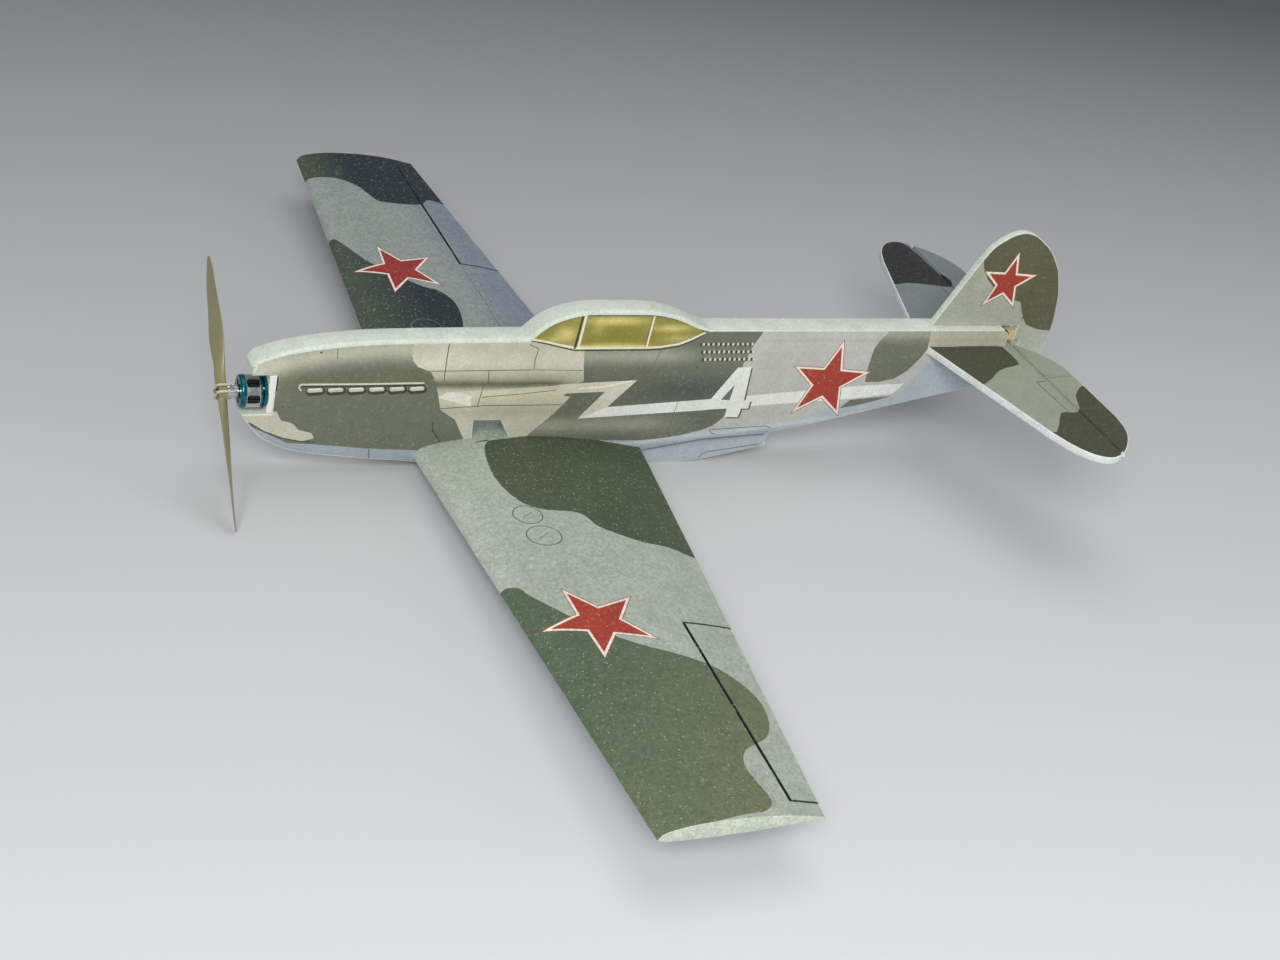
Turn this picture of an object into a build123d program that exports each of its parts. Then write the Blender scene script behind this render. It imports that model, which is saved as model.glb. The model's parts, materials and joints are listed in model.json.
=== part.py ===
"""Foam warbird for radio control with a flat profile fuselage.

X points out of the nose, Y out of the port wing and Z up. The model rests on its belly at Z = 0.
Lengths are millimetres.
"""
from build123d import *
import math
import os

os.makedirs("parts", exist_ok=True)

# ---------------------------------------------------------------- driving dimensions
slab_thickness = 20.0
slab_half = slab_thickness / 2

half_span = 443.0
root_chord = 190.0
tip_chord = 111.0
root_nose_x = 200.0
tip_nose_x = 184.5
root_chord_z = 13.0
dihedral = 3.5
# chord fraction behind the nose, height as a fraction of the chord
upper_surface = [
    (0, 0), (0.012, 0.026), (0.05, 0.048), (0.2, 0.077), (0.4, 0.083), (0.6, 0.075), (0.8, 0.05), (1, 0.008)
]
lower_surface = [(0, 0), (0.012, -0.010), (0.05, -0.017), (0.2, -0.026), (0.5, -0.026), (1, -0.008)]

sheet_thickness = 6.0
tail_z = 103.2
tail_hinge_x = -315.2

hinge_gap_half = 0.75
throw = 25.0
bevel = throw + 2.0

aileron_inner = Vector(83.8, 251.4, 33.9)
aileron_outer = Vector(91.8, 429.0, 41.4)
aileron_end_gap = 0.6

motor_z = 67.5
shaft_radius = 1.5
bell_radius = 12.0
prop_radius = 101.6
blade_angle = 140.3

arm_length = 12.0
wire_radius = 0.6
running_clearance = 0.06


def save(piece, name):
    """Label a finished sub-part and write it."""
    piece.part.label = name
    export_step(piece.part, f"parts/{name}.step")


def save_mirrored(piece, name):
    """Write the starboard twin of a port sub-part."""
    with BuildPart() as twin:
        mirror(piece.part, about=Plane.XZ)
    save(twin, name)
    return twin


def between(start, end, fraction):
    return start + (end - start) * fraction


# ---------------------------------------------------------------- wing shape
def chord_at(y):
    return between(root_chord, tip_chord, y / half_span)


def nose_x_at(y):
    return between(root_nose_x, tip_nose_x, y / half_span)


def chord_z_at(y):
    return root_chord_z + y * math.tan(math.radians(dihedral))


def section_point(y, fraction, height):
    """A point of the wing section at span station y, as (x, z)."""
    chord = chord_at(y)
    return (nose_x_at(y) - fraction * chord, chord_z_at(y) + height * chord)


with BuildPart() as wing_blank:
    for station in (0, half_span):
        upper = [section_point(station, *point) for point in upper_surface]
        lower = [section_point(station, *point) for point in lower_surface]
        with BuildSketch(Plane.XZ.offset(-station)):
            with BuildLine():
                Spline(*upper)
                Spline(*lower)
                Line(upper[-1], lower[-1])
            make_face()
    loft(ruled=True)

# ---------------------------------------------------------------- hinge lines
aileron_line = aileron_outer - aileron_inner
aileron_span = aileron_line.length
aileron_direction = aileron_line.normalized()


def aileron_plane(distance):
    """Section plane of the aileron hinge: local x is forward, local y is up."""
    origin = aileron_inner + aileron_direction * distance
    return Plane(origin=origin, x_dir=(1, 0, 0), z_dir=-aileron_direction)


def tail_plane(y):
    """Section plane of the elevator hinge: local x is forward, local y is up."""
    return Plane(origin=(tail_hinge_x, y, tail_z), x_dir=(1, 0, 0), z_dir=(0, -1, 0))


aileron_sites = [aileron_plane(aileron_span * fraction) for fraction in (0.14, 0.5, 0.86)]
tail_sites = [tail_plane(y) for y in (45.0, 130.0)]

# One pin hinge, drawn on the XY plane with its axis along Z
knuckle_radius = 1.2
knuckle_room = 1.6
pin_radius = 0.5
leaf_reach = 7.5
leaf_width = 8.0
leaf_thickness = 0.9
tongue_width = 2.6
knuckle_gap = 0.25

with BuildPart() as hinge_leaf:
    with BuildSketch(Plane.XY.offset(-leaf_width / 2)):
        Circle(knuckle_radius)
        with Locations((leaf_reach / 2, 0)):
            Rectangle(leaf_reach, leaf_thickness)
    extrude(amount=leaf_width)
    with BuildSketch(Plane.XY.offset(-tongue_width / 2 - knuckle_gap)):
        Circle(knuckle_room)
    extrude(amount=tongue_width + 2 * knuckle_gap, mode=Mode.SUBTRACT)
    with BuildSketch(Plane.XY.offset(-leaf_width / 2)):
        Circle(pin_radius)
    extrude(amount=leaf_width, mode=Mode.SUBTRACT)

with BuildPart() as hinge_tongue:
    with BuildSketch(Plane.XY.offset(-tongue_width / 2)):
        Circle(knuckle_radius)
        with Locations((-leaf_reach / 2, 0)):
            Rectangle(leaf_reach, leaf_thickness)
    extrude(amount=tongue_width)
    with BuildSketch(Plane.XY.offset(-leaf_width / 2)):
        with Locations((-(leaf_reach + knuckle_room) / 2, 0)):
            Rectangle(leaf_reach - knuckle_room, leaf_thickness)
    extrude(amount=leaf_width)
    with BuildSketch(Plane.XY.offset(-leaf_width / 2)):
        Circle(pin_radius + running_clearance)
    extrude(amount=leaf_width, mode=Mode.SUBTRACT)

with BuildPart() as hinge_pin:
    with BuildSketch(Plane.XY.offset(-leaf_width / 2)):
        Circle(pin_radius)
    extrude(amount=leaf_width)

# Room that the foam on both sides leaves for one hinge
with BuildPart() as hinge_room:
    with BuildSketch(Plane.XY.offset(-leaf_width / 2 - knuckle_gap)):
        Circle(knuckle_room)
    extrude(amount=leaf_width + 2 * knuckle_gap)
    with BuildSketch(Plane.XY.offset(-leaf_width / 2)):
        Rectangle(2 * leaf_reach, leaf_thickness)
    extrude(amount=leaf_width)


def placed(piece, planes):
    """Copies of a prototype, one on each plane, in one builder."""
    with BuildPart() as copies:
        with Locations(*[plane.location for plane in planes]):
            add(piece.part)
    return copies


aileron_hinge_rooms = placed(hinge_room, aileron_sites)
tail_hinge_rooms = placed(hinge_room, tail_sites)

# ---------------------------------------------------------------- servo, drawn on the XY plane
# Output shaft along Z at the origin, flange underside on Z = 0, arm pointing to +Y.
case_back = 5.9
case_front = 16.9
case_width = 12.2
case_depth = 15.9
flange_thickness = 2.2
flange_overhang = 4.7
case_top = 6.0
tower_top = 8.5
output_radius = 2.4
arm_level = 10.0
arm_thickness = 1.6
flange_screw_x = (-case_back - 2.4, case_front + 2.4)
case_middle = (case_front - case_back) / 2
case_length = case_front + case_back

with BuildPart() as servo_case:
    with BuildSketch(Plane.XY.offset(-case_depth)):
        with Locations((case_middle, 0)):
            RectangleRounded(case_length, case_width, 0.8)
    extrude(amount=case_depth + case_top)
    with BuildSketch():
        with Locations((case_middle, 0)):
            RectangleRounded(case_length + 2 * flange_overhang, case_width, 0.8)
        with Locations(*[(x, 0) for x in flange_screw_x]):
            Circle(1.0, mode=Mode.SUBTRACT)
    extrude(amount=flange_thickness)
    with BuildSketch(Plane.XY.offset(case_top)):
        Circle(case_back)
        with Locations((case_back, 0)):
            Circle(2.6)
    extrude(amount=tower_top - case_top)
    with BuildSketch(Plane.XY.offset(tower_top - 4)):
        Circle(output_radius + running_clearance)
    extrude(amount=4, mode=Mode.SUBTRACT)

with BuildPart() as servo_output:
    with BuildSketch(Plane.XY.offset(tower_top - 3.7)):
        Circle(output_radius)
    extrude(amount=arm_level + arm_thickness / 2 - tower_top + 3.7)

with BuildPart() as servo_arm:
    with BuildSketch(Plane.XY.offset(tower_top + 0.25)):
        Circle(3.6)
    extrude(amount=3.4)
    with BuildSketch(Plane.XY.offset(arm_level - arm_thickness / 2)):
        with BuildLine():
            Polyline((-3.2, 0), (-1.9, arm_length), (1.9, arm_length), (3.2, 0), close=True)
        make_face()
        with Locations((0, arm_length)):
            Circle(1.9)
    extrude(amount=arm_thickness)
    with BuildSketch(Plane.XY.offset(arm_level - arm_thickness / 2)):
        with Locations(*[(0, arm_length - step) for step in (0, 2.8, 5.6)]):
            Circle(wire_radius + running_clearance)
    extrude(amount=arm_thickness, mode=Mode.SUBTRACT)
    with BuildSketch(Plane.XY.offset(tower_top)):
        Circle(output_radius)
    extrude(amount=arm_level + arm_thickness / 2 - tower_top, mode=Mode.SUBTRACT)
    with BuildSketch(Plane.XY.offset(tower_top)):
        Circle(0.9)
    extrude(amount=5, mode=Mode.SUBTRACT)

with BuildPart() as arm_screw:
    with BuildSketch(Plane.XY.offset(arm_level + arm_thickness / 2)):
        Circle(0.9)
    extrude(amount=tower_top + 0.25 + 3.4 - arm_level - arm_thickness / 2)
    with BuildSketch(Plane.XY.offset(tower_top + 0.25 + 3.4)):
        Circle(1.9)
    extrude(amount=1.0)

with BuildPart() as flange_screws:
    with Locations(*[(x, 0) for x in flange_screw_x]):
        with Locations((0, 0, flange_thickness)):
            Cylinder(1.0, 8.0, align=(Align.CENTER, Align.CENTER, Align.MAX))
            Cylinder(1.9, 1.3, align=(Align.CENTER, Align.CENTER, Align.MIN))

# Pocket for a servo that lies in the wing's underside, open towards +Y
pocket_reach = 30.0
slot_half = 9.0
with BuildPart() as servo_pocket:
    with BuildSketch(Plane.XY.offset(-case_depth)):
        with Locations((case_middle, (pocket_reach - case_width / 2) / 2)):
            Rectangle(case_length, pocket_reach + case_width / 2)
    extrude(amount=case_depth + case_top)
    with BuildSketch():
        with Locations((case_middle, (pocket_reach - case_width / 2) / 2)):
            Rectangle(case_length + 2 * flange_overhang, pocket_reach + case_width / 2)
    extrude(amount=flange_thickness + 1.6)
    with BuildSketch(Plane.XY.offset(case_top)):
        with Locations((0, (pocket_reach - case_width / 2) / 2)):
            Rectangle(2 * slot_half, pocket_reach + case_width / 2)
    extrude(amount=8.5)

wing_servo_forward = 44.4
wing_servo_drop = 3.0
horn_distance = 5.8

_forward = aileron_plane(0).x_dir
_up = aileron_plane(0).y_dir
wing_servo_origin = (
    aileron_inner
    + aileron_direction * (horn_distance - arm_level)
    + _forward * wing_servo_forward
    - _up * wing_servo_drop
)
wing_servo_plane = Plane(origin=wing_servo_origin, x_dir=_forward, z_dir=aileron_direction)

tail_servo_x = -20.0
tail_servo_z = 70.0
tail_servo_plane = Plane(
    origin=(tail_servo_x, -slab_half, tail_servo_z), x_dir=(-1, 0, 0), z_dir=(0, -1, 0)
)

servo_aileron_port = placed(servo_case, [wing_servo_plane])
save(servo_aileron_port, "servo_aileron_port")
save_mirrored(servo_aileron_port, "servo_aileron_starboard")
servo_elevator = placed(servo_case, [tail_servo_plane])
save(servo_elevator, "servo_elevator")

wing_servo_screws = placed(flange_screws, [wing_servo_plane])
tail_servo_screws = placed(flange_screws, [tail_servo_plane])
with BuildPart() as servo_screws:
    add(wing_servo_screws.part)
    mirror(wing_servo_screws.part, about=Plane.XZ)
    add(tail_servo_screws.part)
save(servo_screws, "servo_screws")

for piece, name in ((servo_output, "servo_output"), (servo_arm, "servo_arm"), (arm_screw, "servo_arm_screw")):
    port_piece = placed(piece, [wing_servo_plane])
    save(port_piece, f"{name}_port")
    save_mirrored(port_piece, f"{name}_starboard")
    save(placed(piece, [tail_servo_plane]), f"{name}_elevator")

# ---------------------------------------------------------------- wing spars
spar_fraction = 0.22
spar_height = 0.0255
spar_outer_radius = 3.0
spar_bore_radius = 2.0
spar_tip_y = 400.0
joiner_reach = 85.0


def spar_point(y):
    x, z = section_point(y, spar_fraction, spar_height)
    return Vector(x, y, z)


spar_line = spar_point(spar_tip_y) - spar_point(0)
spar_direction = spar_line.normalized()
spar_root_plane = Plane(origin=spar_point(0) + spar_direction * 2, z_dir=spar_direction)
spar_length = spar_line.length - 2

with BuildPart() as wing_spar_port:
    with BuildSketch(spar_root_plane):
        Circle(spar_outer_radius)
        Circle(spar_bore_radius, mode=Mode.SUBTRACT)
    extrude(amount=spar_length)
save(wing_spar_port, "wing_spar_port")
save_mirrored(wing_spar_port, "wing_spar_starboard")

with BuildPart() as spar_joiner:
    with BuildSketch(Plane(origin=spar_point(0) - spar_direction * 2, z_dir=spar_direction)):
        Circle(spar_bore_radius)
    extrude(amount=joiner_reach)
    split(bisect_by=Plane.XZ, keep=Keep.BOTTOM)
    mirror(about=Plane.XZ)
save(spar_joiner, "spar_joiner")

# ---------------------------------------------------------------- wing panels and ailerons
cut_depth = 70.0
cut_height = 30.0
tilt = math.tan(math.radians(bevel))

with BuildPart() as aileron_bay:
    with BuildSketch(aileron_plane(0)):
        with Locations((hinge_gap_half, 0)):
            Rectangle(cut_depth, 2 * cut_height, align=(Align.MAX, Align.CENTER))
    extrude(amount=-aileron_span)

with BuildPart() as wing_panel_port:
    add(wing_blank.part)
    add(aileron_bay.part, mode=Mode.SUBTRACT)
    add(aileron_hinge_rooms.part, mode=Mode.SUBTRACT)
    with Locations(wing_servo_plane.location):
        add(servo_pocket.part, mode=Mode.SUBTRACT)
    add(wing_servo_screws.part, mode=Mode.SUBTRACT)
    with BuildSketch(Plane(origin=spar_point(0) - spar_direction * 2, z_dir=spar_direction)):
        Circle(spar_outer_radius)
    extrude(amount=spar_length + 4, mode=Mode.SUBTRACT)
save(wing_panel_port, "wing_panel_port")
save_mirrored(wing_panel_port, "wing_panel_starboard")

horn_thickness = 1.2


def blade_horn(plane, skin_level, front, back):
    """Horn whose hole stands one arm length below the hinge axis, drawn in the hinge's section plane."""
    with BuildPart() as horn:
        with BuildSketch(plane.offset(-horn_thickness / 2)):
            with BuildLine():
                Polyline(
                    (front, skin_level + 1.2),
                    (front, skin_level - 0.4),
                    (1.6, 1.2 - arm_length),
                    (1.2, -1.6 - arm_length),
                    (-2.4, -1.0 - arm_length),
                    (back, skin_level - 0.4),
                    (back, skin_level + 1.2),
                    close=True,
                )
            make_face()
            with Locations((0, -arm_length)):
                Circle(2.0)
                Circle(wire_radius + running_clearance, mode=Mode.SUBTRACT)
        extrude(amount=horn_thickness)
    return horn


aileron_skin_level = -8.2
aileron_horn_port = blade_horn(aileron_plane(horn_distance), aileron_skin_level, -5.2, -14.0)
save(aileron_horn_port, "aileron_horn_port")
save_mirrored(aileron_horn_port, "aileron_horn_starboard")

with BuildPart() as aileron_port:
    add(wing_blank.part)
    with BuildSketch(aileron_plane(aileron_end_gap)):
        with BuildLine():
            Polyline(
                (-hinge_gap_half, cut_height),
                (-hinge_gap_half, 0),
                (-hinge_gap_half - tilt * cut_height, -cut_height),
                (-cut_depth, -cut_height),
                (-cut_depth, cut_height),
                close=True,
            )
        make_face()
    extrude(amount=-(aileron_span - 2 * aileron_end_gap), mode=Mode.INTERSECT)
    add(aileron_hinge_rooms.part, mode=Mode.SUBTRACT)
    add(aileron_horn_port.part, mode=Mode.SUBTRACT)
save(aileron_port, "aileron_port")
save_mirrored(aileron_port, "aileron_starboard")

aileron_tongues_port = placed(hinge_tongue, aileron_sites)
save(aileron_tongues_port, "aileron_hinge_tongues_port")
save_mirrored(aileron_tongues_port, "aileron_hinge_tongues_starboard")

# ---------------------------------------------------------------- tailplane
stab_nose_x = -226.0
horn_y = -slab_half - arm_level
elevator_root = (-316.0, 3.8)
stab_spar_x = -285.0
stab_spar_radius = 1.25
stab_spar_reach = 140.0

with BuildPart() as tail_blank:
    with BuildSketch(Plane.XY.offset(tail_z - sheet_thickness / 2)):
        with BuildLine():
            Polyline((tail_hinge_x, 0), (stab_nose_x, 0), (-268.0, 140.0))
            Spline(
                (-268.0, 140.0), (-286.0, 171.0), (-303.8, 177.6), (-324.0, 165.5), (-338.5, 147.0), (-345.4, 122.0),
                tangents=[(-0.28, 1), (0, -1)],
            )
            Line((-345.4, 122.0), (-345.4, 60.0))
            Spline((-345.4, 60.0), (-342.5, 38.0), (-333.6, 23.3), tangents=[(0, -1), (0.7, -0.75)])
            Polyline((-333.6, 23.3), elevator_root, (tail_hinge_x, 3.8), (tail_hinge_x, 0))
        make_face()
    extrude(amount=sheet_thickness)

with BuildPart() as stab_half:
    add(tail_blank.part)
    with BuildSketch(Plane.XZ):
        with Locations((tail_hinge_x + hinge_gap_half, tail_z)):
            Rectangle(cut_depth * 2, cut_height, align=(Align.MIN, Align.CENTER))
    extrude(amount=-half_span, mode=Mode.INTERSECT)
    add(tail_hinge_rooms.part, mode=Mode.SUBTRACT)

with BuildPart() as stabiliser_spar:
    with BuildSketch(Plane.XZ):
        with Locations((stab_spar_x, tail_z)):
            Circle(stab_spar_radius)
    extrude(amount=stab_spar_reach, both=True)
save(stabiliser_spar, "stabiliser_spar")

with BuildPart() as stabiliser:
    add(stab_half.part)
    mirror(stab_half.part, about=Plane.XZ)
    add(stabiliser_spar.part, mode=Mode.SUBTRACT)
save(stabiliser, "stabiliser")

joiner_x = -320.6
joiner_radius = 1.5
joiner_half = 27.0
with BuildPart() as elevator_joiner:
    with BuildSketch(Plane.XZ):
        with Locations((joiner_x, tail_z)):
            Circle(joiner_radius)
    extrude(amount=joiner_half, both=True)
save(elevator_joiner, "elevator_joiner")

elevator_horn = blade_horn(tail_plane(horn_y), -sheet_thickness / 2, -3.4, -12.0)
save(elevator_horn, "elevator_horn")

half_sheet = sheet_thickness / 2
with BuildPart() as elevator_port:
    add(tail_blank.part)
    with BuildSketch(tail_plane(0)):
        with BuildLine():
            Polyline(
                (-hinge_gap_half, 0),
                (-hinge_gap_half - tilt * half_sheet, -half_sheet),
                (-cut_depth, -half_sheet),
                (-cut_depth, half_sheet),
                (-hinge_gap_half - tilt * half_sheet, half_sheet),
                close=True,
            )
        make_face()
    extrude(amount=-half_span, mode=Mode.INTERSECT)
    add(tail_hinge_rooms.part, mode=Mode.SUBTRACT)
    add(elevator_joiner.part, mode=Mode.SUBTRACT)
save(elevator_port, "elevator_port")

with BuildPart() as elevator_starboard:
    mirror(elevator_port.part, about=Plane.XZ)
    add(elevator_horn.part, mode=Mode.SUBTRACT)
save(elevator_starboard, "elevator_starboard")

elevator_tongues_port = placed(hinge_tongue, tail_sites)
with BuildPart() as elevator_tongues:
    add(elevator_tongues_port.part)
    mirror(elevator_tongues_port.part, about=Plane.XZ)
save(elevator_tongues, "elevator_hinge_tongues")

all_port_sites = aileron_sites + tail_sites
for piece, name in ((hinge_leaf, "hinge_leaves"), (hinge_pin, "hinge_pins")):
    port_pieces = placed(piece, all_port_sites)
    with BuildPart() as both_sides:
        add(port_pieces.part)
        mirror(port_pieces.part, about=Plane.XZ)
    save(both_sides, name)

# ---------------------------------------------------------------- pushrods
rod_offset = arm_thickness / 2 + 0.4 + wire_radius
pin_overhang = 1.6


def pushrod(arm_hole, horn_point, axis):
    """Wire with both ends bent square: each end passes through a hole along the hinge axis."""
    with BuildPart() as rod:
        with BuildLine() as route:
            FilletPolyline(
                arm_hole - axis * pin_overhang,
                arm_hole + axis * rod_offset,
                horn_point + axis * rod_offset,
                horn_point - axis * pin_overhang,
                radius=1.1,
            )
        with BuildSketch(Plane(origin=route.line @ 0, z_dir=route.line % 0)):
            Circle(wire_radius)
        sweep()
    return rod


wing_arm_hole = wing_servo_origin + aileron_direction * arm_level - _up * arm_length
wing_horn_point = aileron_inner + aileron_direction * horn_distance - _up * arm_length
pushrod_aileron_port = pushrod(wing_arm_hole, wing_horn_point, aileron_direction)
save(pushrod_aileron_port, "pushrod_aileron_port")
save_mirrored(pushrod_aileron_port, "pushrod_aileron_starboard")

tail_arm_hole = Vector(tail_servo_x, horn_y, tail_servo_z - arm_length)
tail_horn_point = Vector(tail_hinge_x, horn_y, tail_z - arm_length)
outward = Vector(0, -1, 0)
pushrod_elevator = pushrod(tail_arm_hole, tail_horn_point, outward)
save(pushrod_elevator, "pushrod_elevator")

# Eyes that keep the long rod from bowing; tall enough for the rod's rise as the arm swings
guide_length = 4.0
eye_height = 5.2
eye_width = 2.6
guide_wall = 1.2
rod_y = horn_y - rod_offset
with BuildPart() as pushrod_guides:
    for fraction in (0.28, 0.58):
        centre = between(tail_arm_hole, tail_horn_point, fraction)
        rest_rise = arm_length * (1 - math.cos(math.radians(throw))) / 2
        eye_z = centre.Z + rest_rise
        with BuildSketch(Plane.YZ.offset(centre.X - guide_length / 2)):
            with Locations((rod_y, eye_z)):
                RectangleRounded(eye_width + 2 * guide_wall, eye_height + 2 * guide_wall, 1.2)
                RectangleRounded(eye_width, eye_height, 0.8, mode=Mode.SUBTRACT)
            with BuildLine():
                foot_y = rod_y + eye_width / 2 + guide_wall / 2
                Polyline(
                    (foot_y, eye_z - 1.2), (-slab_half - 1.0, eye_z - 1.2), (-slab_half - 1.0, eye_z - 4.5),
                    (-slab_half, eye_z - 4.5), (-slab_half, eye_z + 4.5), (-slab_half - 1.0, eye_z + 4.5),
                    (-slab_half - 1.0, eye_z + 1.2), (foot_y, eye_z + 1.2), close=True,
                )
            make_face()
        extrude(amount=guide_length)
save(pushrod_guides, "pushrod_guides")

# ---------------------------------------------------------------- motor mount
notch_x = 311.0
notch_floor = 54.0
notch_roof = 86.0
plate_thickness = 4.0
plate_front = notch_x + plate_thickness
stick_side = 10.0
stick_length = 45.0
motor_screw_circle = 7.0
motor_screw_radius = 1.25
motor_plane = Plane(origin=(0, 0, motor_z), x_dir=(0, 1, 0), z_dir=(1, 0, 0))

with BuildPart() as motor_screws:
    with BuildSketch(motor_plane.offset(plate_front - 9)):
        with PolarLocations(motor_screw_circle, 4, start_angle=45):
            Circle(motor_screw_radius)
    extrude(amount=11.5)
    with BuildSketch(motor_plane.offset(plate_front + 2.5)):
        with PolarLocations(motor_screw_circle, 4, start_angle=45):
            Circle(2.1)
    extrude(amount=1.4)
save(motor_screws, "motor_screws")

with BuildPart() as motor_mount_plate:
    with BuildSketch(Plane.YZ.offset(notch_x)):
        with Locations((0, (notch_floor + notch_roof) / 2)):
            RectangleRounded(slab_thickness, notch_roof - notch_floor - 0.8, 1.0)
        with Locations((0, motor_z)):
            Circle(4.0, mode=Mode.SUBTRACT)
    extrude(amount=plate_thickness)
    with BuildSketch(Plane.XZ.offset(-slab_half)):
        with Locations((notch_x, 79.3)):
            Rectangle(1.8, 12.0, align=(Align.MAX, Align.CENTER))
    extrude(amount=slab_thickness)
    add(motor_screws.part, mode=Mode.SUBTRACT)
save(motor_mount_plate, "motor_mount_plate")

with BuildPart() as motor_mount_stick:
    with BuildSketch(Plane.YZ.offset(notch_x - stick_length)):
        with Locations((0, motor_z)):
            Rectangle(stick_side, stick_side)
    extrude(amount=stick_length)
    add(motor_screws.part, mode=Mode.SUBTRACT)
save(motor_mount_stick, "motor_mount_stick")

# ---------------------------------------------------------------- motor
base_flange_thickness = 2.5
base_flange_radius = 11.5
tube_radius = 3.6
bearing_radius = 2.9
bearing_length = 2.5
tube_end = 329.6
bell_back = 318.8
bell_front = 334.0
bell_wall = 1.2
bell_face = 3.5
window_count = 6
magnet_count = 12
tooth_count = 9
magnet_back = 320.0
magnet_front = 329.0
stator_back = 321.2
stator_length = 6.6
stator_radius = 9.4
magnet_radius = 9.8

with BuildPart() as motor_base:
    with BuildSketch(motor_plane.offset(plate_front)):
        Circle(base_flange_radius)
    extrude(amount=base_flange_thickness)
    with BuildSketch(motor_plane.offset(plate_front + base_flange_thickness)):
        Circle(tube_radius)
    extrude(amount=tube_end - plate_front - base_flange_thickness)
    with BuildSketch(motor_plane.offset(plate_front)):
        Circle(bearing_radius)
    extrude(amount=tube_end - plate_front, mode=Mode.SUBTRACT)
    with BuildSketch(motor_plane.offset(plate_front)):
        with PolarLocations(9.2, 4, start_angle=0):
            SlotOverall(5.0, 2.0, rotation=90)
    extrude(amount=base_flange_thickness, mode=Mode.SUBTRACT)
    add(motor_screws.part, mode=Mode.SUBTRACT)
save(motor_base, "motor_base")

with BuildPart() as motor_bearings:
    for back in (plate_front, tube_end - bearing_length):
        with BuildSketch(motor_plane.offset(back)):
            Circle(bearing_radius)
            Circle(shaft_radius + running_clearance, mode=Mode.SUBTRACT)
        extrude(amount=bearing_length)
save(motor_bearings, "motor_bearings")

with BuildPart() as stator:
    with BuildSketch(motor_plane.offset(stator_back)):
        Circle(5.2)
        with PolarLocations(0, tooth_count):
            with Locations((6.5, 0)):
                Rectangle(4.6, 1.7)
            with Locations((stator_radius - 0.7, 0)):
                Rectangle(1.2, 4.8)
        Circle(tube_radius, mode=Mode.SUBTRACT)
    extrude(amount=stator_length)
save(stator, "stator")

with BuildPart() as windings:
    with BuildSketch(motor_plane.offset(stator_back - 1.3)):
        with PolarLocations(0, tooth_count):
            with Locations((6.65, 0)):
                RectangleRounded(2.4, 3.4, 0.5)
    extrude(amount=stator_length + 2.6)
    with BuildSketch(motor_plane.offset(stator_back)):
        with PolarLocations(0, tooth_count):
            with Locations((6.5, 0)):
                Rectangle(4.6, 1.7)
    extrude(amount=stator_length, mode=Mode.SUBTRACT)
save(windings, "windings")

with BuildPart() as rotor_bell:
    with BuildSketch(motor_plane.offset(bell_back)):
        Circle(bell_radius)
    extrude(amount=bell_front - bell_back)
    fillet(rotor_bell.edges().group_by(Axis.X)[-1], 1.6)
    with BuildSketch(motor_plane.offset(bell_back)):
        Circle(bell_radius - bell_wall)
    extrude(amount=bell_front - bell_face - bell_back, mode=Mode.SUBTRACT)
    with BuildSketch(motor_plane.offset(bell_back)):
        Circle(shaft_radius)
    extrude(amount=bell_front - bell_back, mode=Mode.SUBTRACT)
    with BuildSketch(motor_plane.offset(bell_front - bell_face)):
        with PolarLocations(6.6, window_count):
            Circle(2.1)
    extrude(amount=bell_face, mode=Mode.SUBTRACT)
    for turn in range(window_count):
        with BuildSketch(Plane(origin=(0, 0, motor_z), x_dir=(1, 0, 0),
                               z_dir=(0, math.cos(math.tau * turn / window_count),
                                      math.sin(math.tau * turn / window_count)))):
            with Locations((325.3, 0)):
                RectangleRounded(9.2, 6.6, 1.5)
        extrude(amount=bell_radius + 2, mode=Mode.SUBTRACT)
save(rotor_bell, "rotor_bell")

with BuildPart() as rotor_magnets:
    with BuildSketch(motor_plane.offset(magnet_back)):
        Circle(bell_radius - bell_wall)
        Circle(magnet_radius, mode=Mode.SUBTRACT)
        with PolarLocations(magnet_radius, magnet_count):
            Rectangle(4.0, 1.0, mode=Mode.SUBTRACT)
    extrude(amount=magnet_front - magnet_back)
save(rotor_magnets, "rotor_magnets")

# ---------------------------------------------------------------- shaft, prop saver and propeller
shaft_back = 313.5
shaft_front = 351.4
collar_back = bell_front + 0.3
collar_front = 342.4
collar_radius = 4.8
stub_radius = 2.5
hub_thickness = 6.0
hub_radius = 6.6
hub_front = collar_front + hub_thickness
saver_screw_x = 339.6
saver_screw_reach = 8.7
ring_wire = 0.9
ring_side = 2.6
ring_height = 7.6
pitch = 114.0
# radius, width, thickness of each blade section
blade_sections = [(5.0, 8.0, 5.2), (16.0, 8.8, 3.6), (38.0, 16.2, 2.6), (66.0, 16.0, 1.9), (90.0, 11.5, 1.3),
                  (prop_radius, 3.0, 0.8)]
blade_direction = Vector(0, math.cos(math.radians(blade_angle)), math.sin(math.radians(blade_angle)))
across = Vector(1, 0, 0).cross(blade_direction)
hub_middle = Vector(collar_front + hub_thickness / 2, 0, motor_z)


def rotor_plane(x):
    """Disc plane at x: local x runs along the blades, local y across them."""
    return Plane(origin=(x, 0, motor_z), x_dir=blade_direction, z_dir=(1, 0, 0))


with BuildPart() as motor_shaft:
    with BuildSketch(rotor_plane(shaft_back)):
        Circle(shaft_radius)
    extrude(amount=shaft_front - shaft_back)
    chamfer(motor_shaft.edges().group_by(Axis.X)[-1], 0.4)
save(motor_shaft, "motor_shaft")

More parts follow.
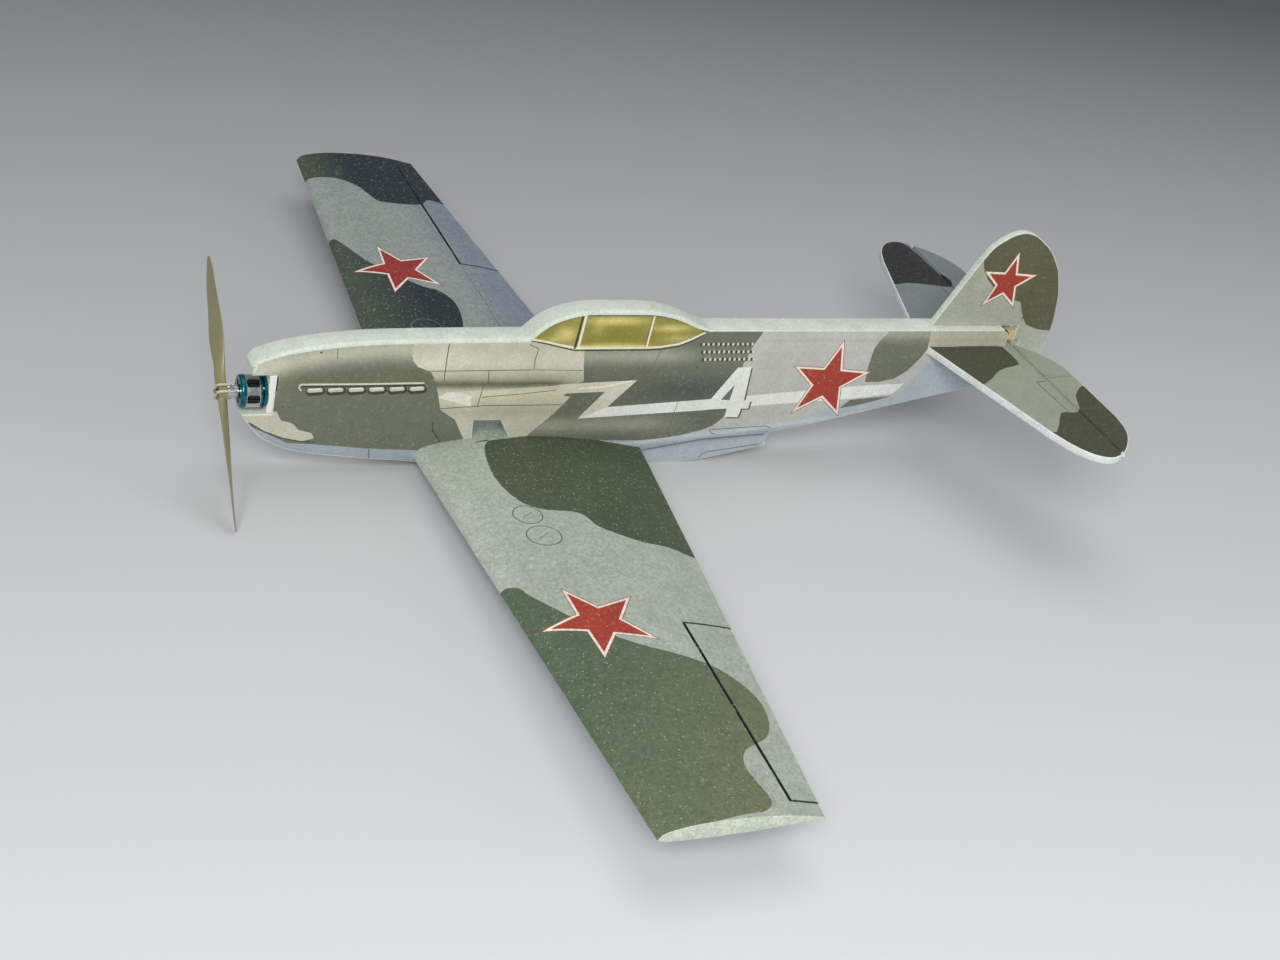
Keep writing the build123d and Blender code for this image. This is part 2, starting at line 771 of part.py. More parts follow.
with BuildPart() as prop_saver_screws:
    for side in (1, -1):
        screw_plane = Plane(origin=(saver_screw_x, 0, motor_z), z_dir=across * side)
        with BuildSketch(screw_plane.offset(shaft_radius)):
            Circle(1.25)
        extrude(amount=saver_screw_reach - shaft_radius)
        with BuildSketch(screw_plane.offset(saver_screw_reach)):
            Circle(2.2)
        extrude(amount=1.6)
        with BuildSketch(screw_plane.offset(saver_screw_reach + 0.8)):
            Rectangle(3.0, 0.6)
            Rectangle(0.6, 3.0)
        extrude(amount=1.0, mode=Mode.SUBTRACT)
save(prop_saver_screws, "prop_saver_screws")

with BuildPart() as prop_saver:
    with BuildSketch(rotor_plane(collar_back)):
        Circle(collar_radius)
    extrude(amount=collar_front - collar_back)
    with BuildSketch(rotor_plane(collar_front)):
        Circle(stub_radius)
    extrude(amount=hub_thickness - 0.8)
    with BuildSketch(rotor_plane(collar_back)):
        Circle(shaft_radius)
    extrude(amount=hub_front - collar_back, mode=Mode.SUBTRACT)
    add(prop_saver_screws.part, mode=Mode.SUBTRACT)
save(prop_saver, "prop_saver")

ring_corners = []
for lengthwise, height in ((-1, 1), (1, 1), (1, -1), (-1, -1)):
    ring_corners.append((lengthwise, -ring_side, height * ring_height))
for lengthwise, height in ((-1, -1), (1, -1), (1, 1), (-1, 1)):
    ring_corners.append((lengthwise, ring_side, height * ring_height))
ring_back = saver_screw_x - ring_side
ring_front = hub_front + ring_wire + 0.15
ring_points = [
    Vector(ring_front if lengthwise > 0 else ring_back, 0, motor_z) + blade_direction * side + across * height
    for lengthwise, side, height in ring_corners
]
with BuildPart() as prop_ring:
    with BuildLine() as ring_route:
        FilletPolyline(*ring_points, radius=2.2, close=True)
    with BuildSketch(Plane(origin=ring_route.line @ 0, z_dir=ring_route.line % 0)):
        Circle(ring_wire)
    sweep()
save(prop_ring, "prop_ring")

with BuildPart() as propeller:
    with BuildSketch(rotor_plane(collar_front)):
        Circle(hub_radius)
    extrude(amount=hub_thickness)
    for side in (1, -1):
        for radius, width, thickness in blade_sections:
            twist = min(math.atan2(pitch, math.tau * radius), math.radians(48))
            chord_direction = across * (side * math.cos(twist)) + Vector(1, 0, 0) * math.sin(twist)
            section_origin = hub_middle + blade_direction * (side * radius)
            with BuildSketch(Plane(origin=section_origin, x_dir=chord_direction, z_dir=blade_direction * side)):
                Ellipse(width / 2, thickness / 2)
        loft()
    with BuildSketch(rotor_plane(collar_front)):
        Circle(stub_radius)
    extrude(amount=hub_thickness, mode=Mode.SUBTRACT)
save(propeller, "propeller")

# ---------------------------------------------------------------- fin and tail key
slab_end_x = -306.5
deck_z = 122.0
fin_tab_z = 110.0
fin_gap_front = -318.0
tab_front = -240.0
tab_back = -297.0
notch_back = -324.6
notch_half = 5.4
fin_foot = 79.0

with BuildPart() as fin:
    with BuildSketch(Plane.XZ.offset(-sheet_thickness / 2)):
        with BuildLine():
            Line((-230.5, deck_z), (-258.5, 183.0))
            Spline(
                (-258.5, 183.0), (-274.8, 202.3), (-292.1, 208.8), (-313.6, 200.5), (-331.6, 184.1), (-342.6, 166.0),
                (-350.7, 140.6), (-353.5, 116.3), (-352.0, 97.0), (-346.0, 83.0),
                tangents=[(-0.417, 0.909), (0.55, -0.83)],
            )
            Polyline(
                (-346.0, 83.0), (-340.0, fin_foot), (fin_gap_front, fin_foot + 1.0),
                (fin_gap_front, tail_z - notch_half), (notch_back, tail_z - notch_half),
                (notch_back, tail_z + notch_half), (fin_gap_front, tail_z + notch_half), (fin_gap_front, deck_z),
                (tab_back, deck_z), (tab_back, fin_tab_z), (tab_front, fin_tab_z), (tab_front, deck_z),
                (-230.5, deck_z),
            )
        make_face()
    extrude(amount=sheet_thickness)
save(fin, "fin")

key_front = -299.0
key_top = 117.6
with BuildPart() as tail_key:
    with BuildSketch(Plane.XZ.offset(-sheet_thickness / 2)):
        with BuildLine():
            Polyline(
                (key_front, tail_z + notch_half), (key_front, key_top), (fin_gap_front, key_top),
                (fin_gap_front, tail_z + notch_half), close=True,
            )
        make_face()
    extrude(amount=sheet_thickness)
save(tail_key, "tail_key")

# ---------------------------------------------------------------- equipment in the slab's starboard face
def recess_box(low, high):
    """Box of one piece of equipment between two corners, with rounded upright edges."""
    with BuildPart() as box:
        with BuildSketch(Plane.XZ.offset(-low[1])):
            with Locations(((low[0] + high[0]) / 2, (low[2] + high[2]) / 2)):
                RectangleRounded(high[0] - low[0], high[2] - low[2], 2.0)
        extrude(amount=low[1] - high[1])
    return box


battery_pack = recess_box((192, 4, 35), (262, -slab_half, 69))
save(battery_pack, "battery_pack")
speed_controller = recess_box((225, -1, 78), (270, -slab_half, 101))
save(speed_controller, "speed_controller")
receiver = recess_box((58, 0, 84), (98, -slab_half, 106))
save(receiver, "receiver")

strap_thickness = 1.2
with BuildPart() as battery_strap:
    with BuildSketch(Plane.XZ.offset(slab_half)):
        with Locations((227, 52)):
            Rectangle(20, 50)
    extrude(amount=strap_thickness)
save(battery_strap, "battery_strap")

longeron_y = 7.0
longeron_radius = 1.5
with BuildPart() as fuselage_longerons:
    for back, front, height in ((-215, 296, 105.0), (-140, 296, 49.0)):
        with BuildSketch(Plane.YZ.offset(back)):
            with Locations((longeron_y, height)):
                Circle(longeron_radius)
        extrude(amount=front - back)
save(fuselage_longerons, "fuselage_longerons")

# ---------------------------------------------------------------- fuselage slab
belly_back = -25.0
belly_front = 130.0
jaw_x = 327.5
window_corners = [(157.0, 44.5), (134.6, 44.2), (123.0, 24.0), (155.0, 24.0)]

with BuildPart() as fuselage_slab:
    with BuildSketch(Plane.XZ.offset(-slab_half)):
        with BuildLine():
            Polyline((notch_x, notch_floor), (notch_x, notch_roof), (jaw_x, notch_roof), (jaw_x, 96.5))
            Spline((jaw_x, 96.5), (308.0, 104.5), (285.0, 109.1), (250.0, 112.9), (207.6, 114.3),
                   tangents=[(-1, 0.8), (-1, 0.01)])
            Line((207.6, 114.3), (126.0, 115.2))
            Spline((126.0, 115.2), (115.0, 126.0), (103.0, 132.8), (84.0, 137.8), (56.0, 138.8), (29.0, 138.2),
                   (14.8, 136.2), (0.7, 132.0), (-11.6, 126.8), (-24.0, deck_z))
            Line((-24.0, deck_z), (-300.5, deck_z))
            RadiusArc((-300.5, deck_z), (slab_end_x, 116.0), -6.0)
            Line((slab_end_x, 116.0), (slab_end_x, 75.0))
            RadiusArc((slab_end_x, 75.0), (-298.5, 69.2), -6.0)
            Polyline((-298.5, 69.2), (-130.0, 31.0), (-102.5, 26.6), (-100.5, 17.5), (-103.0, 13.6))
            Spline((-103.0, 13.6), (-83.0, 9.6), (-48.0, 2.2), (belly_back, 0), tangents=[(1, -0.12), (1, 0)])
            Line((belly_back, 0), (belly_front, 0))
            Spline(
                (belly_front, 0), (165.0, 2.6), (199.0, 8.6), (240.0, 13.4), (286.0, 20.3), (303.0, 25.8),
                (317.0, 34.4), (327.0, 45.5), (332.5, notch_floor),
                tangents=[(1, 0), (0.45, 0.9)],
            )
            Line((332.5, notch_floor), (notch_x, notch_floor))
        make_face()
        with BuildLine():
            Polyline(*window_corners, close=True)
        make_face(mode=Mode.SUBTRACT)
    extrude(amount=slab_thickness)
    add(wing_blank.part, mode=Mode.SUBTRACT)
    mirror(wing_blank.part, about=Plane.XZ, mode=Mode.SUBTRACT)
    for filler in (motor_mount_plate, motor_mount_stick, motor_screws, fuselage_longerons, battery_pack,
                   speed_controller, receiver, servo_elevator, tail_servo_screws, fin, tail_key, stabiliser,
                   stabiliser_spar):
        add(filler.part, mode=Mode.SUBTRACT)
save(fuselage_slab, "fuselage_slab")
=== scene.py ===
"""RC warbird: printed foam profile model aircraft, dressed round its CAD frame."""

import json
import math

import bmesh
import bpy
import numpy as np
from mathutils import Matrix, Vector
from mathutils.geometry import delaunay_2d_cdt


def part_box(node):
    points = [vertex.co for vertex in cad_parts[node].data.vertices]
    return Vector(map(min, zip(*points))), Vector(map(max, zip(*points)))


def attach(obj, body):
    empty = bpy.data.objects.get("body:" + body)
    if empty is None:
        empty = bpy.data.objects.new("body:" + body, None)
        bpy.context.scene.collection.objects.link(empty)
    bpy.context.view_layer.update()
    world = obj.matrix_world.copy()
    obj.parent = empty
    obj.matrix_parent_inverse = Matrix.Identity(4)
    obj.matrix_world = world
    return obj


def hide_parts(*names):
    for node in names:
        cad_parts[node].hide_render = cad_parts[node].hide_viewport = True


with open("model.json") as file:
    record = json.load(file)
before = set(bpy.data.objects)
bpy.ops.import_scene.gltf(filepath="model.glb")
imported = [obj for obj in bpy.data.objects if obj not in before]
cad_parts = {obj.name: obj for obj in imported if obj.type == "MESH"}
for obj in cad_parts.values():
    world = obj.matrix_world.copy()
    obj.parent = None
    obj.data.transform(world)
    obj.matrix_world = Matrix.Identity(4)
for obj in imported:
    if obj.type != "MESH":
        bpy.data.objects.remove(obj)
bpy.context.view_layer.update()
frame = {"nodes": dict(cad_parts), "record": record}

MM = 0.001


# ---------------------------------------------------------------- colours
def display(r, g, b):
    """A linear colour from display values of 0 to 255."""
    return tuple(((c / 255 + 0.055) / 1.055) ** 2.4 for c in (r, g, b))


def scaled(colour, factor):
    return tuple(c * factor for c in colour)


FOAM = display(212, 219, 205)
TIP_FOAM = display(196, 204, 184)
TAIL_FOAM = display(226, 231, 228)
# Painted shade for the gaps round ailerons and elevators and at the fin's notch in the deck.
GAP_SHADE = display(48, 52, 45)
CREAM = display(236, 228, 212)
RED = display(166, 58, 42)
INK = display(62, 66, 52)
SHADE = display(96, 100, 84)
WHITE = display(228, 230, 222)

SIDE_LIGHT = display(188, 186, 180)
SIDE_BEIGE = display(194, 194, 172)
SIDE_WARM = display(204, 196, 166)
SIDE_DARK = display(107, 112, 95)
SIDE_NAVY = display(78, 84, 78)
CREAM_PANEL = display(212, 208, 188)
SIDE_OLIVE = display(104, 104, 76)
BELLY_BLUE = display(172, 182, 188)
BELLY_SHADE = display(142, 153, 160)
BELLY_GLOW = display(200, 208, 210)
GLASS = display(138, 130, 54)
GLASS_GLOW = display(224, 212, 128)

WING_LIGHT = display(170, 177, 163)
WING_GREEN = display(84, 100, 76)
WING_OLIVE = display(110, 116, 86)
WING_ROOT = display(74, 84, 62)
# The starboard wing's colours below are darker copies of the port wing's, bluer towards the trailing edge:
# painted shade.
SHADED_WING_LIGHT = display(146, 153, 147)
SHADED_WING_GREEN = display(72, 82, 66)
SHADED_WING_NAVY = display(34, 42, 50)
SHADED_TRAILING_BLUE = display(128, 137, 148)
SHADED_RED = display(152, 44, 42)
WING_BLUE = display(176, 188, 200)

TAIL_LIGHT = display(156, 162, 142)
# The starboard half of the tail gets darker copies of the port half's light and dark colours: painted shade.
SHADED_TAIL_LIGHT = display(124, 132, 132)
TAIL_DARK = display(72, 74, 54)
SHADED_TAIL_DARK = display(42, 40, 38)
FIN_LIGHT = display(170, 174, 158)
FIN_DARK = display(92, 92, 66)


# ---------------------------------------------------------------- plane curves, in millimetres
def straight(points, step=2.5):
    """Straight runs through points with a point at least every step."""
    made = []
    for a, b in zip(points[:-1], points[1:]):
        a, b = np.array(a, float), np.array(b, float)
        count = max(1, math.ceil(np.linalg.norm(b - a) / step))
        made += [a + (b - a) * i / count for i in range(count)]
    made.append(np.array(points[-1], float))
    return made


def curve(points, step=2.0):
    """A smooth curve through points, by centripetal Catmull-Rom."""
    p = [np.array(q, float) for q in points]
    p = [2 * p[0] - p[1], *p, 2 * p[-1] - p[-2]]
    made = []
    for a, b, c, d in zip(p[:-3], p[1:-2], p[2:-1], p[3:]):
        t1 = np.linalg.norm(b - a) ** 0.5
        t2 = t1 + np.linalg.norm(c - b) ** 0.5
        t3 = t2 + np.linalg.norm(d - c) ** 0.5
        count = max(2, math.ceil(np.linalg.norm(c - b) / step))
        for i in range(count):
            t = t1 + (t2 - t1) * i / count
            ab = a * (t1 - t) / t1 + b * t / t1
            bc = b * (t2 - t) / (t2 - t1) + c * (t - t1) / (t2 - t1)
            cd = c * (t3 - t) / (t3 - t2) + d * (t - t2) / (t3 - t2)
            abc = ab * (t2 - t) / t2 + bc * t / t2
            bcd = bc * (t3 - t) / (t3 - t1) + cd * (t - t1) / (t3 - t1)
            made.append(abc * (t2 - t) / (t2 - t1) + bcd * (t - t1) / (t2 - t1))
    made.append(p[-2])
    return made


def joined(*runs):
    """One closed loop from runs that follow each other, without repeated points."""
    loop = []
    for run in runs:
        for point in run:
            if not loop or np.linalg.norm(np.array(point) - loop[-1]) > 0.05:
                loop.append(np.array(point, float))
    if np.linalg.norm(loop[0] - loop[-1]) < 0.05:
        loop.pop()
    return np.array(loop)


def counterclockwise(loop):
    x, y = loop[:, 0], loop[:, 1]
    area = np.sum(x * np.roll(y, -1) - np.roll(x, -1) * y)
    return loop if area > 0 else loop[::-1]


def unit(v):
    return v / np.maximum(np.linalg.norm(v, axis=-1, keepdims=True), 1e-12)


def inset(loop, amount):
    """A counterclockwise loop moved inwards by amount, one number or one for each point."""
    before = unit(loop - np.roll(loop, 1, axis=0))
    after = np.roll(before, -1, axis=0)
    n_before = np.stack([-before[:, 1], before[:, 0]], axis=1)
    n_after = np.stack([-after[:, 1], after[:, 0]], axis=1)
    middle = unit(n_before + n_after)
    stretch = 1 / np.maximum(0.6, np.sum(middle * n_after, axis=1))
    return loop + middle * (stretch * amount)[:, None]


def inside(points, polygon):
    x, y = points[:, 0], points[:, 1]
    found = np.zeros(len(points), bool)
    a = np.asarray(polygon, float)
    for (x1, y1), (x2, y2) in zip(a, np.roll(a, -1, axis=0)):
        crosses = (y1 > y) != (y2 > y)
        if crosses.any():
            at = (x2 - x1) * (y - y1) / (y2 - y1 + 1e-12) + x1
            found ^= crosses & (x < at)
    return found


def away_from(points, loops, distance):
    """Which points are further than distance from every vertex of the loops."""
    keep = np.ones(len(points), bool)
    for loop in loops:
        dense = np.array(straight([*loop, loop[0]], distance))
        for start in range(0, len(dense), 400):
            d = points[:, None, :] - dense[None, start : start + 400, :]
            keep &= (d**2).sum(-1).min(1) > distance**2
    return keep


# ---------------------------------------------------------------- printed shapes
def star(centre, radius, turn, grow=0.0):
    """A five-pointed star, its first point at turn degrees. grow moves its edges outwards."""
    angles = np.radians(turn + 36 * np.arange(10))
    reach = (radius + grow * 3.2) * np.where(np.arange(10) % 2, 0.4, 1.0)
    return np.array(centre) + np.stack([reach * np.cos(angles), reach * np.sin(angles)], axis=1)


def star_layers(centre, radius, turn, red=RED):
    """A red star in a cream border with a thin red line round it."""
    return [
        (star(centre, radius, turn), red),
        (star(centre, radius, turn, -0.55), CREAM),
        (star(centre, radius, turn, -2.3), red),
    ]


def ribbon(points, width):
    """A closed polygon that follows a line with the given width."""
    p = np.array(points, float)
    along = unit(np.gradient(p, axis=0))
    side = np.stack([-along[:, 1], along[:, 0]], axis=1) * width / 2
    return np.concatenate([p + side, (p - side)[::-1]])


def line(points, width=0.7, colour=SHADE):
    """A printed line through points."""
    return (ribbon(straight(points, 3), width), colour)


def ellipse(centre, rx, ry, angles):
    return np.stack([centre[0] + rx * np.cos(angles), centre[1] + ry * np.sin(angles)], axis=1)


def ring_of(centre, rx, ry):
    """A printed elliptical ring, in two halves."""
    starts = (0.0, math.pi)
    return [(ribbon(ellipse(centre, rx, ry, np.linspace(a, a + math.pi, 25)), 0.9), SHADE) for a in starts]


def ridge(value, centre, width):
    """1 where value is centre, falling off on both sides."""
    return np.exp(-(((value - centre) / width) ** 2))


def glow(points, centre, reach):
    """A soft patch of light round centre, its reach along each axis."""
    return np.exp(-np.sum(((points - np.array(centre)) / np.array(reach)) ** 2, axis=1))


def mixed(share, a, b):
    share = np.clip(share, 0, 1)[:, None]
    return np.array(a) * (1 - share) + np.array(b) * share


# ---------------------------------------------------------------- sheets
def triangulated(loops, lines, spacing):
    """Points and triangles of the region inside loops[0] and outside the others, cut along lines."""
    outer = loops[0]
    low, high = outer.min(0), outer.max(0)
    xs = np.arange(low[0] + spacing / 2, high[0], spacing)
    ys = np.arange(low[1] + spacing / 2, high[1], spacing * 0.866)
    grid = np.array([(x + (spacing / 2 if j % 2 else 0), y) for j, y in enumerate(ys) for x in xs])
    grid = grid[inside(grid, outer)]
    grid = grid[away_from(grid, [*loops, *lines], spacing * 0.55)]
    points, edges = [], []
    for loop in (*loops, *lines):
        first = len(points)
        points += [Vector(q) for q in loop]
        count = len(loop)
        edges += [(first + i, first + (i + 1) % count) for i in range(count)]
    points += [Vector(q) for q in grid]
    found, _, faces, *_ = delaunay_2d_cdt(points, edges, [], 0, 1e-4)
    found = np.array([tuple(v) for v in found])
    faces = np.array([f for f in faces if len(f) == 3])
    middles = found[faces].mean(1)
    keep = inside(middles, outer)
    for hole in loops[1:]:
        keep &= ~inside(middles, hole)
    a, b, c = (found[faces[:, i]] for i in range(3))
    area = (b[:, 0] - a[:, 0]) * (c[:, 1] - a[:, 1]) - (c[:, 0] - a[:, 0]) * (b[:, 1] - a[:, 1])
    faces = np.where((area > 0)[:, None], faces, faces[:, ::-1])
    faces = faces[keep & (np.abs(area) > 1e-6)]
    used, numbers = np.unique(faces, return_inverse=True)
    return found[used], numbers.reshape(-1, 3)


def printed(points, faces, base, layers, tone):
    """Corner colours of triangles: the last layer that holds a triangle's middle wins, and tone shades it."""
    corners = points[faces]
    colours = np.ones((len(faces), 3, 4))
    colours[..., :3] = base
    for polygon, colour in layers:
        held = inside(corners.mean(1), polygon)
        if callable(colour):
            colours[held, :, :3] = colour(corners[held].reshape(-1, 2)).reshape(-1, 3, 3)
        else:
            colours[held, :, :3] = colour
    colours[..., :3] *= tone(corners.reshape(-1, 2)).reshape(len(faces), 3, 1)
    return colours


def art_at(points, base, layers):
    """The printed colour at plan points."""
    colours = np.tile(base, (len(points), 1))
    for polygon, colour in layers:
        colours[inside(points, polygon)] = colour
    return colours


def flat(axis, value):
    """A flat face: plan points with one fixed value put in as the given axis."""
    return lambda points: np.insert(points, axis, value, axis=1)


ARC = [0.0, 0.26, 0.5, 0.71, 0.87, 1.0]


def rim_profile(thickness, radius, keel):
    """(share of the thickness, distance outwards) from the front edge to the back edge of a rim."""
    radius = min(radius, thickness / 2.2)
    profile = []
    for sine in ARC:
        share = radius * (1 - math.sqrt(1 - sine * sine)) / max(thickness, 1e-9)
        profile.append((share, radius * sine + keel * share))
    profile.append((0.5, radius + keel / 2))
    return profile + [(1 - share, out) for share, out in reversed(profile[:-1])]


def border_of(middle, faces, outwards):
    """The edges on a sheet's border, the border's points and the way out of the sheet at each point."""
    directed = dict.fromkeys((tri[i], tri[(i + 1) % 3]) for tri in faces for i in range(3))
    edges = [(p, q) for p, q in directed if (q, p) not in directed]
    ways = {}
    for p, q in edges:
        way = unit(np.cross(middle[q] - middle[p], outwards))
        for v in (p, q):
            ways.setdefault(v, []).append(way)
    border = sorted(ways)
    push = []
    for v in border:
        along = unit(np.sum(ways[v], axis=0))
        push.append(along / max(0.6, float(np.dot(along, ways[v][0]))))
    return edges, border, np.array(push)


def sheet_mesh(name, loops, front, back, rim, art_front, art_back, rim_colour, spacing=3.0):
    """A closed printed sheet. loops are the plan outline and holes, front and back give points in
    millimetres, rim(points) gives each edge point's rounding and keel, art is (base, layers, tone)."""
    polygons = [polygon for _, layers, _ in (art_front, art_back) for polygon, _ in layers]
    lines = [np.array(straight([*polygon, polygon[0]], spacing))[:-1] for polygon in polygons]
    points, faces = triangulated(loops, lines, spacing)
    top, under = front(points), back(points)
    thickness = np.linalg.norm(top - under, axis=1)
    outwards = unit((top - under)[np.argmax(thickness)])
    a, b, c = top[faces[0]]
    if np.dot(np.cross(b - a, c - a), outwards) < 0:
        faces = faces[:, ::-1]
    middle = (top + under) / 2
    edges, border, push = border_of(middle, faces, outwards)
    rounding, keel = rim(middle[border])
    profiles = [rim_profile(thickness[v], rounding[i], keel[i]) for i, v in enumerate(border)]
    last_ring = len(profiles[0]) - 1
    rings = []
    for k in range(1, last_ring):
        share, out = np.array([profile[k] for profile in profiles]).T[..., None]
        rings.append(top[border] * (1 - share) + under[border] * share + push * out)
    index = {v: i for i, v in enumerate(border)}
    count = len(points)

    def on_ring(k, v):
        """The vertex below border point v on ring k. The first and last rings are the skins' own edges."""
        if k == 0:
            return v
        return count + v if k == last_ring else 2 * count + (k - 1) * len(border) + index[v]

    rim_faces = [
        [on_ring(k, p), on_ring(k + 1, p), on_ring(k + 1, q), on_ring(k, q)]
        for p, q in edges for k in range(last_ring)
    ]
    everything = np.concatenate([top, under, *rings])
    mesh = bpy.data.meshes.new(name)
    skins = [*faces.tolist(), *(faces[:, ::-1] + count).tolist()]
    mesh.from_pydata([tuple(v) for v in everything * MM], [], skins + rim_faces)
    shades = [printed(points, faces, *art_front), printed(points, faces[:, ::-1], *art_back)]
    rim_shades = np.zeros((len(rim_faces), 4, 4))
    rim_shades[..., :3] = rim_colour(everything[np.array(rim_faces)].mean(1))[:, None, :]
    colours = np.concatenate([part.ravel() for part in (*shades, rim_shades)])
    attribute = mesh.attributes.new("print", "FLOAT_COLOR", "CORNER")
    attribute.data.foreach_set("color", colours.astype(np.float32))
    tidy(mesh)
    piece = bpy.data.objects.new(name, mesh)
    bpy.context.scene.collection.objects.link(piece)
    return piece


def bare_foam(points):
    """Edges show unprinted foam."""
    return np.tile(FOAM, (len(points), 1))


def slab_edges(points):
    """Bare foam, and a painted shadow at the end of the deck where the fin is let in."""
    slot = (points[:, 0] < -300.5) & (points[:, 2] > 117.5)
    return np.where(slot[:, None], GAP_SHADE, FOAM)


def tidy(mesh, sharp=38):
    """Welds coincident points, drops empty faces and shades the mesh smooth but for its sharp edges."""
    work = bmesh.new()
    work.from_mesh(mesh)
    bmesh.ops.remove_doubles(work, verts=work.verts, dist=5e-6)
    bmesh.ops.dissolve_degenerate(work, edges=work.edges, dist=1e-6)
    for face in work.faces:
        face.smooth = True
    work.to_mesh(mesh)
    work.free()
    mesh.set_sharp_from_angle(angle=math.radians(sharp))
    mesh.update()


def finished(piece, body, nodes, material):
    """Gives a built piece its body, the CAD nodes it stands for and its material."""
    piece.data.materials.clear()
    piece.data.materials.append(material)
    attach(piece, body)
    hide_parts(*nodes)
    return piece


def cutter(name, points, faces, place):
    """A closed shape to cut with, from points in millimetres in the frame of place."""
    mesh = bpy.data.meshes.new(name)
    work = bmesh.new()
    verts = [work.verts.new(place @ Vector(point) * MM) for point in points]
    for face in faces:
        work.faces.new([verts[i] for i in face])
    bmesh.ops.recalc_face_normals(work, faces=work.faces)
    work.to_mesh(mesh)
    work.free()
    return bpy.data.objects.new(name, mesh)


def box_cutter(low, high, place):
    points = [(x, y, z) for x in (low[0], high[0]) for y in (low[1], high[1]) for z in (low[2], high[2])]
    faces = [(0, 1, 3, 2), (4, 6, 7, 5), (0, 4, 5, 1), (2, 3, 7, 6), (0, 2, 6, 4), (1, 5, 7, 3)]
    return cutter("box_cutter", points, faces, place)


def hinge_room(place, radius=1.65, half_length=4.3, sides=20):
    """A cylinder along place's local Z, which leaves room for a hinge's knuckle."""
    ring = ellipse((0, 0), radius, radius, np.arange(sides) * math.tau / sides)
    points = [(x, y, z) for z in (-half_length, half_length) for x, y in ring]
    faces = [(i, (i + 1) % sides, (i + 1) % sides + sides, i + sides) for i in range(sides)]
    ends = [tuple(range(sides))[::-1], tuple(range(sides, 2 * sides))]
    return cutter("hinge_cutter", points, faces + ends, place)


def carve(piece, cutters):
    """Cuts each cutter out of the piece. What the cut opens is bare foam."""
    for tool in cutters:
        bpy.context.scene.collection.objects.link(tool)
        modifier = piece.modifiers.new("cut", "BOOLEAN")
        modifier.operation = "DIFFERENCE"
        modifier.solver = "EXACT"
        modifier.object = tool
        shades = tool.data.attributes.new("print", "FLOAT_COLOR", "CORNER")
        shades.data.foreach_set("color", np.tile(np.array([*FOAM, 0.0], np.float32), len(tool.data.loops)))
        graph = bpy.context.evaluated_depsgraph_get()
        made = bpy.data.meshes.new_from_object(piece.evaluated_get(graph))
        piece.modifiers.clear()
        piece.data = made
        bpy.data.objects.remove(tool)
    piece.data.set_sharp_from_angle(angle=math.radians(38))


# ---------------------------------------------------------------- materials
class Surface:
    """A procedural material. Its methods add nodes and return the sockets that carry their results."""

    def __init__(self, name):
        self.material = bpy.data.materials.new(name)
        self.material.use_nodes = True
        self.material.node_tree.nodes.clear()
        self.place = self.node("ShaderNodeTexCoord").outputs["Object"]
        self.shader = self.node("ShaderNodeBsdfPrincipled")
        self.node("ShaderNodeOutputMaterial", {"Surface": self.shader.outputs["BSDF"]})

    def node(self, kind, inputs=None, **settings):
        made = self.material.node_tree.nodes.new(kind)
        for key, value in settings.items():
            setattr(made, key, value)
        self.feed(made, inputs or {})
        return made

    def feed(self, node, inputs):
        """Wires a node's inputs to sockets, or sets them to numbers and colours."""
        for key, value in inputs.items():
            target = node.inputs[key]
            if isinstance(value, bpy.types.NodeSocket):
                self.material.node_tree.links.new(value, target)
            elif isinstance(value, tuple):
                target.default_value = (*value, 1.0)[: len(target.default_value)]
            else:
                target.default_value = value

    def noise(self, scale, detail=3.0, roughness=0.55, place=None):
        inputs = {"Vector": place or self.place, "Scale": scale, "Detail": detail, "Roughness": roughness}
        return self.node("ShaderNodeTexNoise", inputs).outputs["Fac"]

    def cells(self, scale, feature="F1"):
        inputs = {"Vector": self.place, "Scale": scale}
        return self.node("ShaderNodeTexVoronoi", inputs, feature=feature).outputs

    def threads(self, scale, distortion, axis):
        inputs = {"Vector": self.place, "Scale": scale, "Distortion": distortion}
        return self.node("ShaderNodeTexWave", inputs, wave_type="BANDS", bands_direction=axis).outputs["Fac"]

    def stretched(self, stretch):
        """Coordinates stretched along an axis, for grain and brushing."""
        return self.node("ShaderNodeMapping", {"Vector": self.place, "Scale": stretch}).outputs["Vector"]

    def axes(self):
        return self.node("ShaderNodeSeparateXYZ", {"Vector": self.place}).outputs

    def ranged(self, value, from_low, from_high, to_low, to_high):
        limits = {"From Min": from_low, "From Max": from_high, "To Min": to_low, "To Max": to_high}
        return self.node("ShaderNodeMapRange", {"Value": value, **limits}).outputs["Result"]

    def between(self, value, low, high, soft):
        """1 where value lies between low and high, 0 elsewhere."""
        return self.product(
            self.ranged(value, low, low + soft, 0.0, 1.0), self.ranged(value, high - soft, high, 1.0, 0.0)
        )

    def sum_or_product(self, operation, values):
        result = values[0]
        for value in values[1:]:
            result = self.node("ShaderNodeMath", {0: result, 1: value}, operation=operation).outputs["Value"]
        return result

    def product(self, *values):
        return self.sum_or_product("MULTIPLY", values)

    def total(self, *values):
        return self.sum_or_product("ADD", values)

    def tinted(self, colour, amount):
        """A colour times a grey amount."""
        inputs = {0: colour, "Scale": amount}
        return self.node("ShaderNodeVectorMath", inputs, operation="SCALE").outputs["Vector"]

    def blended(self, share, a, b):
        return self.node("ShaderNodeMix", {"Factor": share, 6: a, 7: b}, data_type="RGBA").outputs[2]

    def finish(self, colour, roughness, height, strength, distance, **more):
        """Feeds the shader its colour, gloss and relief, and gives back the material."""
        relief = self.node("ShaderNodeBump", {"Height": height, "Strength": strength, "Distance": distance})
        inputs = {"Base Color": colour, "Roughness": roughness, "Normal": relief.outputs["Normal"]}
        self.feed(self.shader, {**inputs, **{key.replace("_", " "): value for key, value in more.items()}})
        return self.material


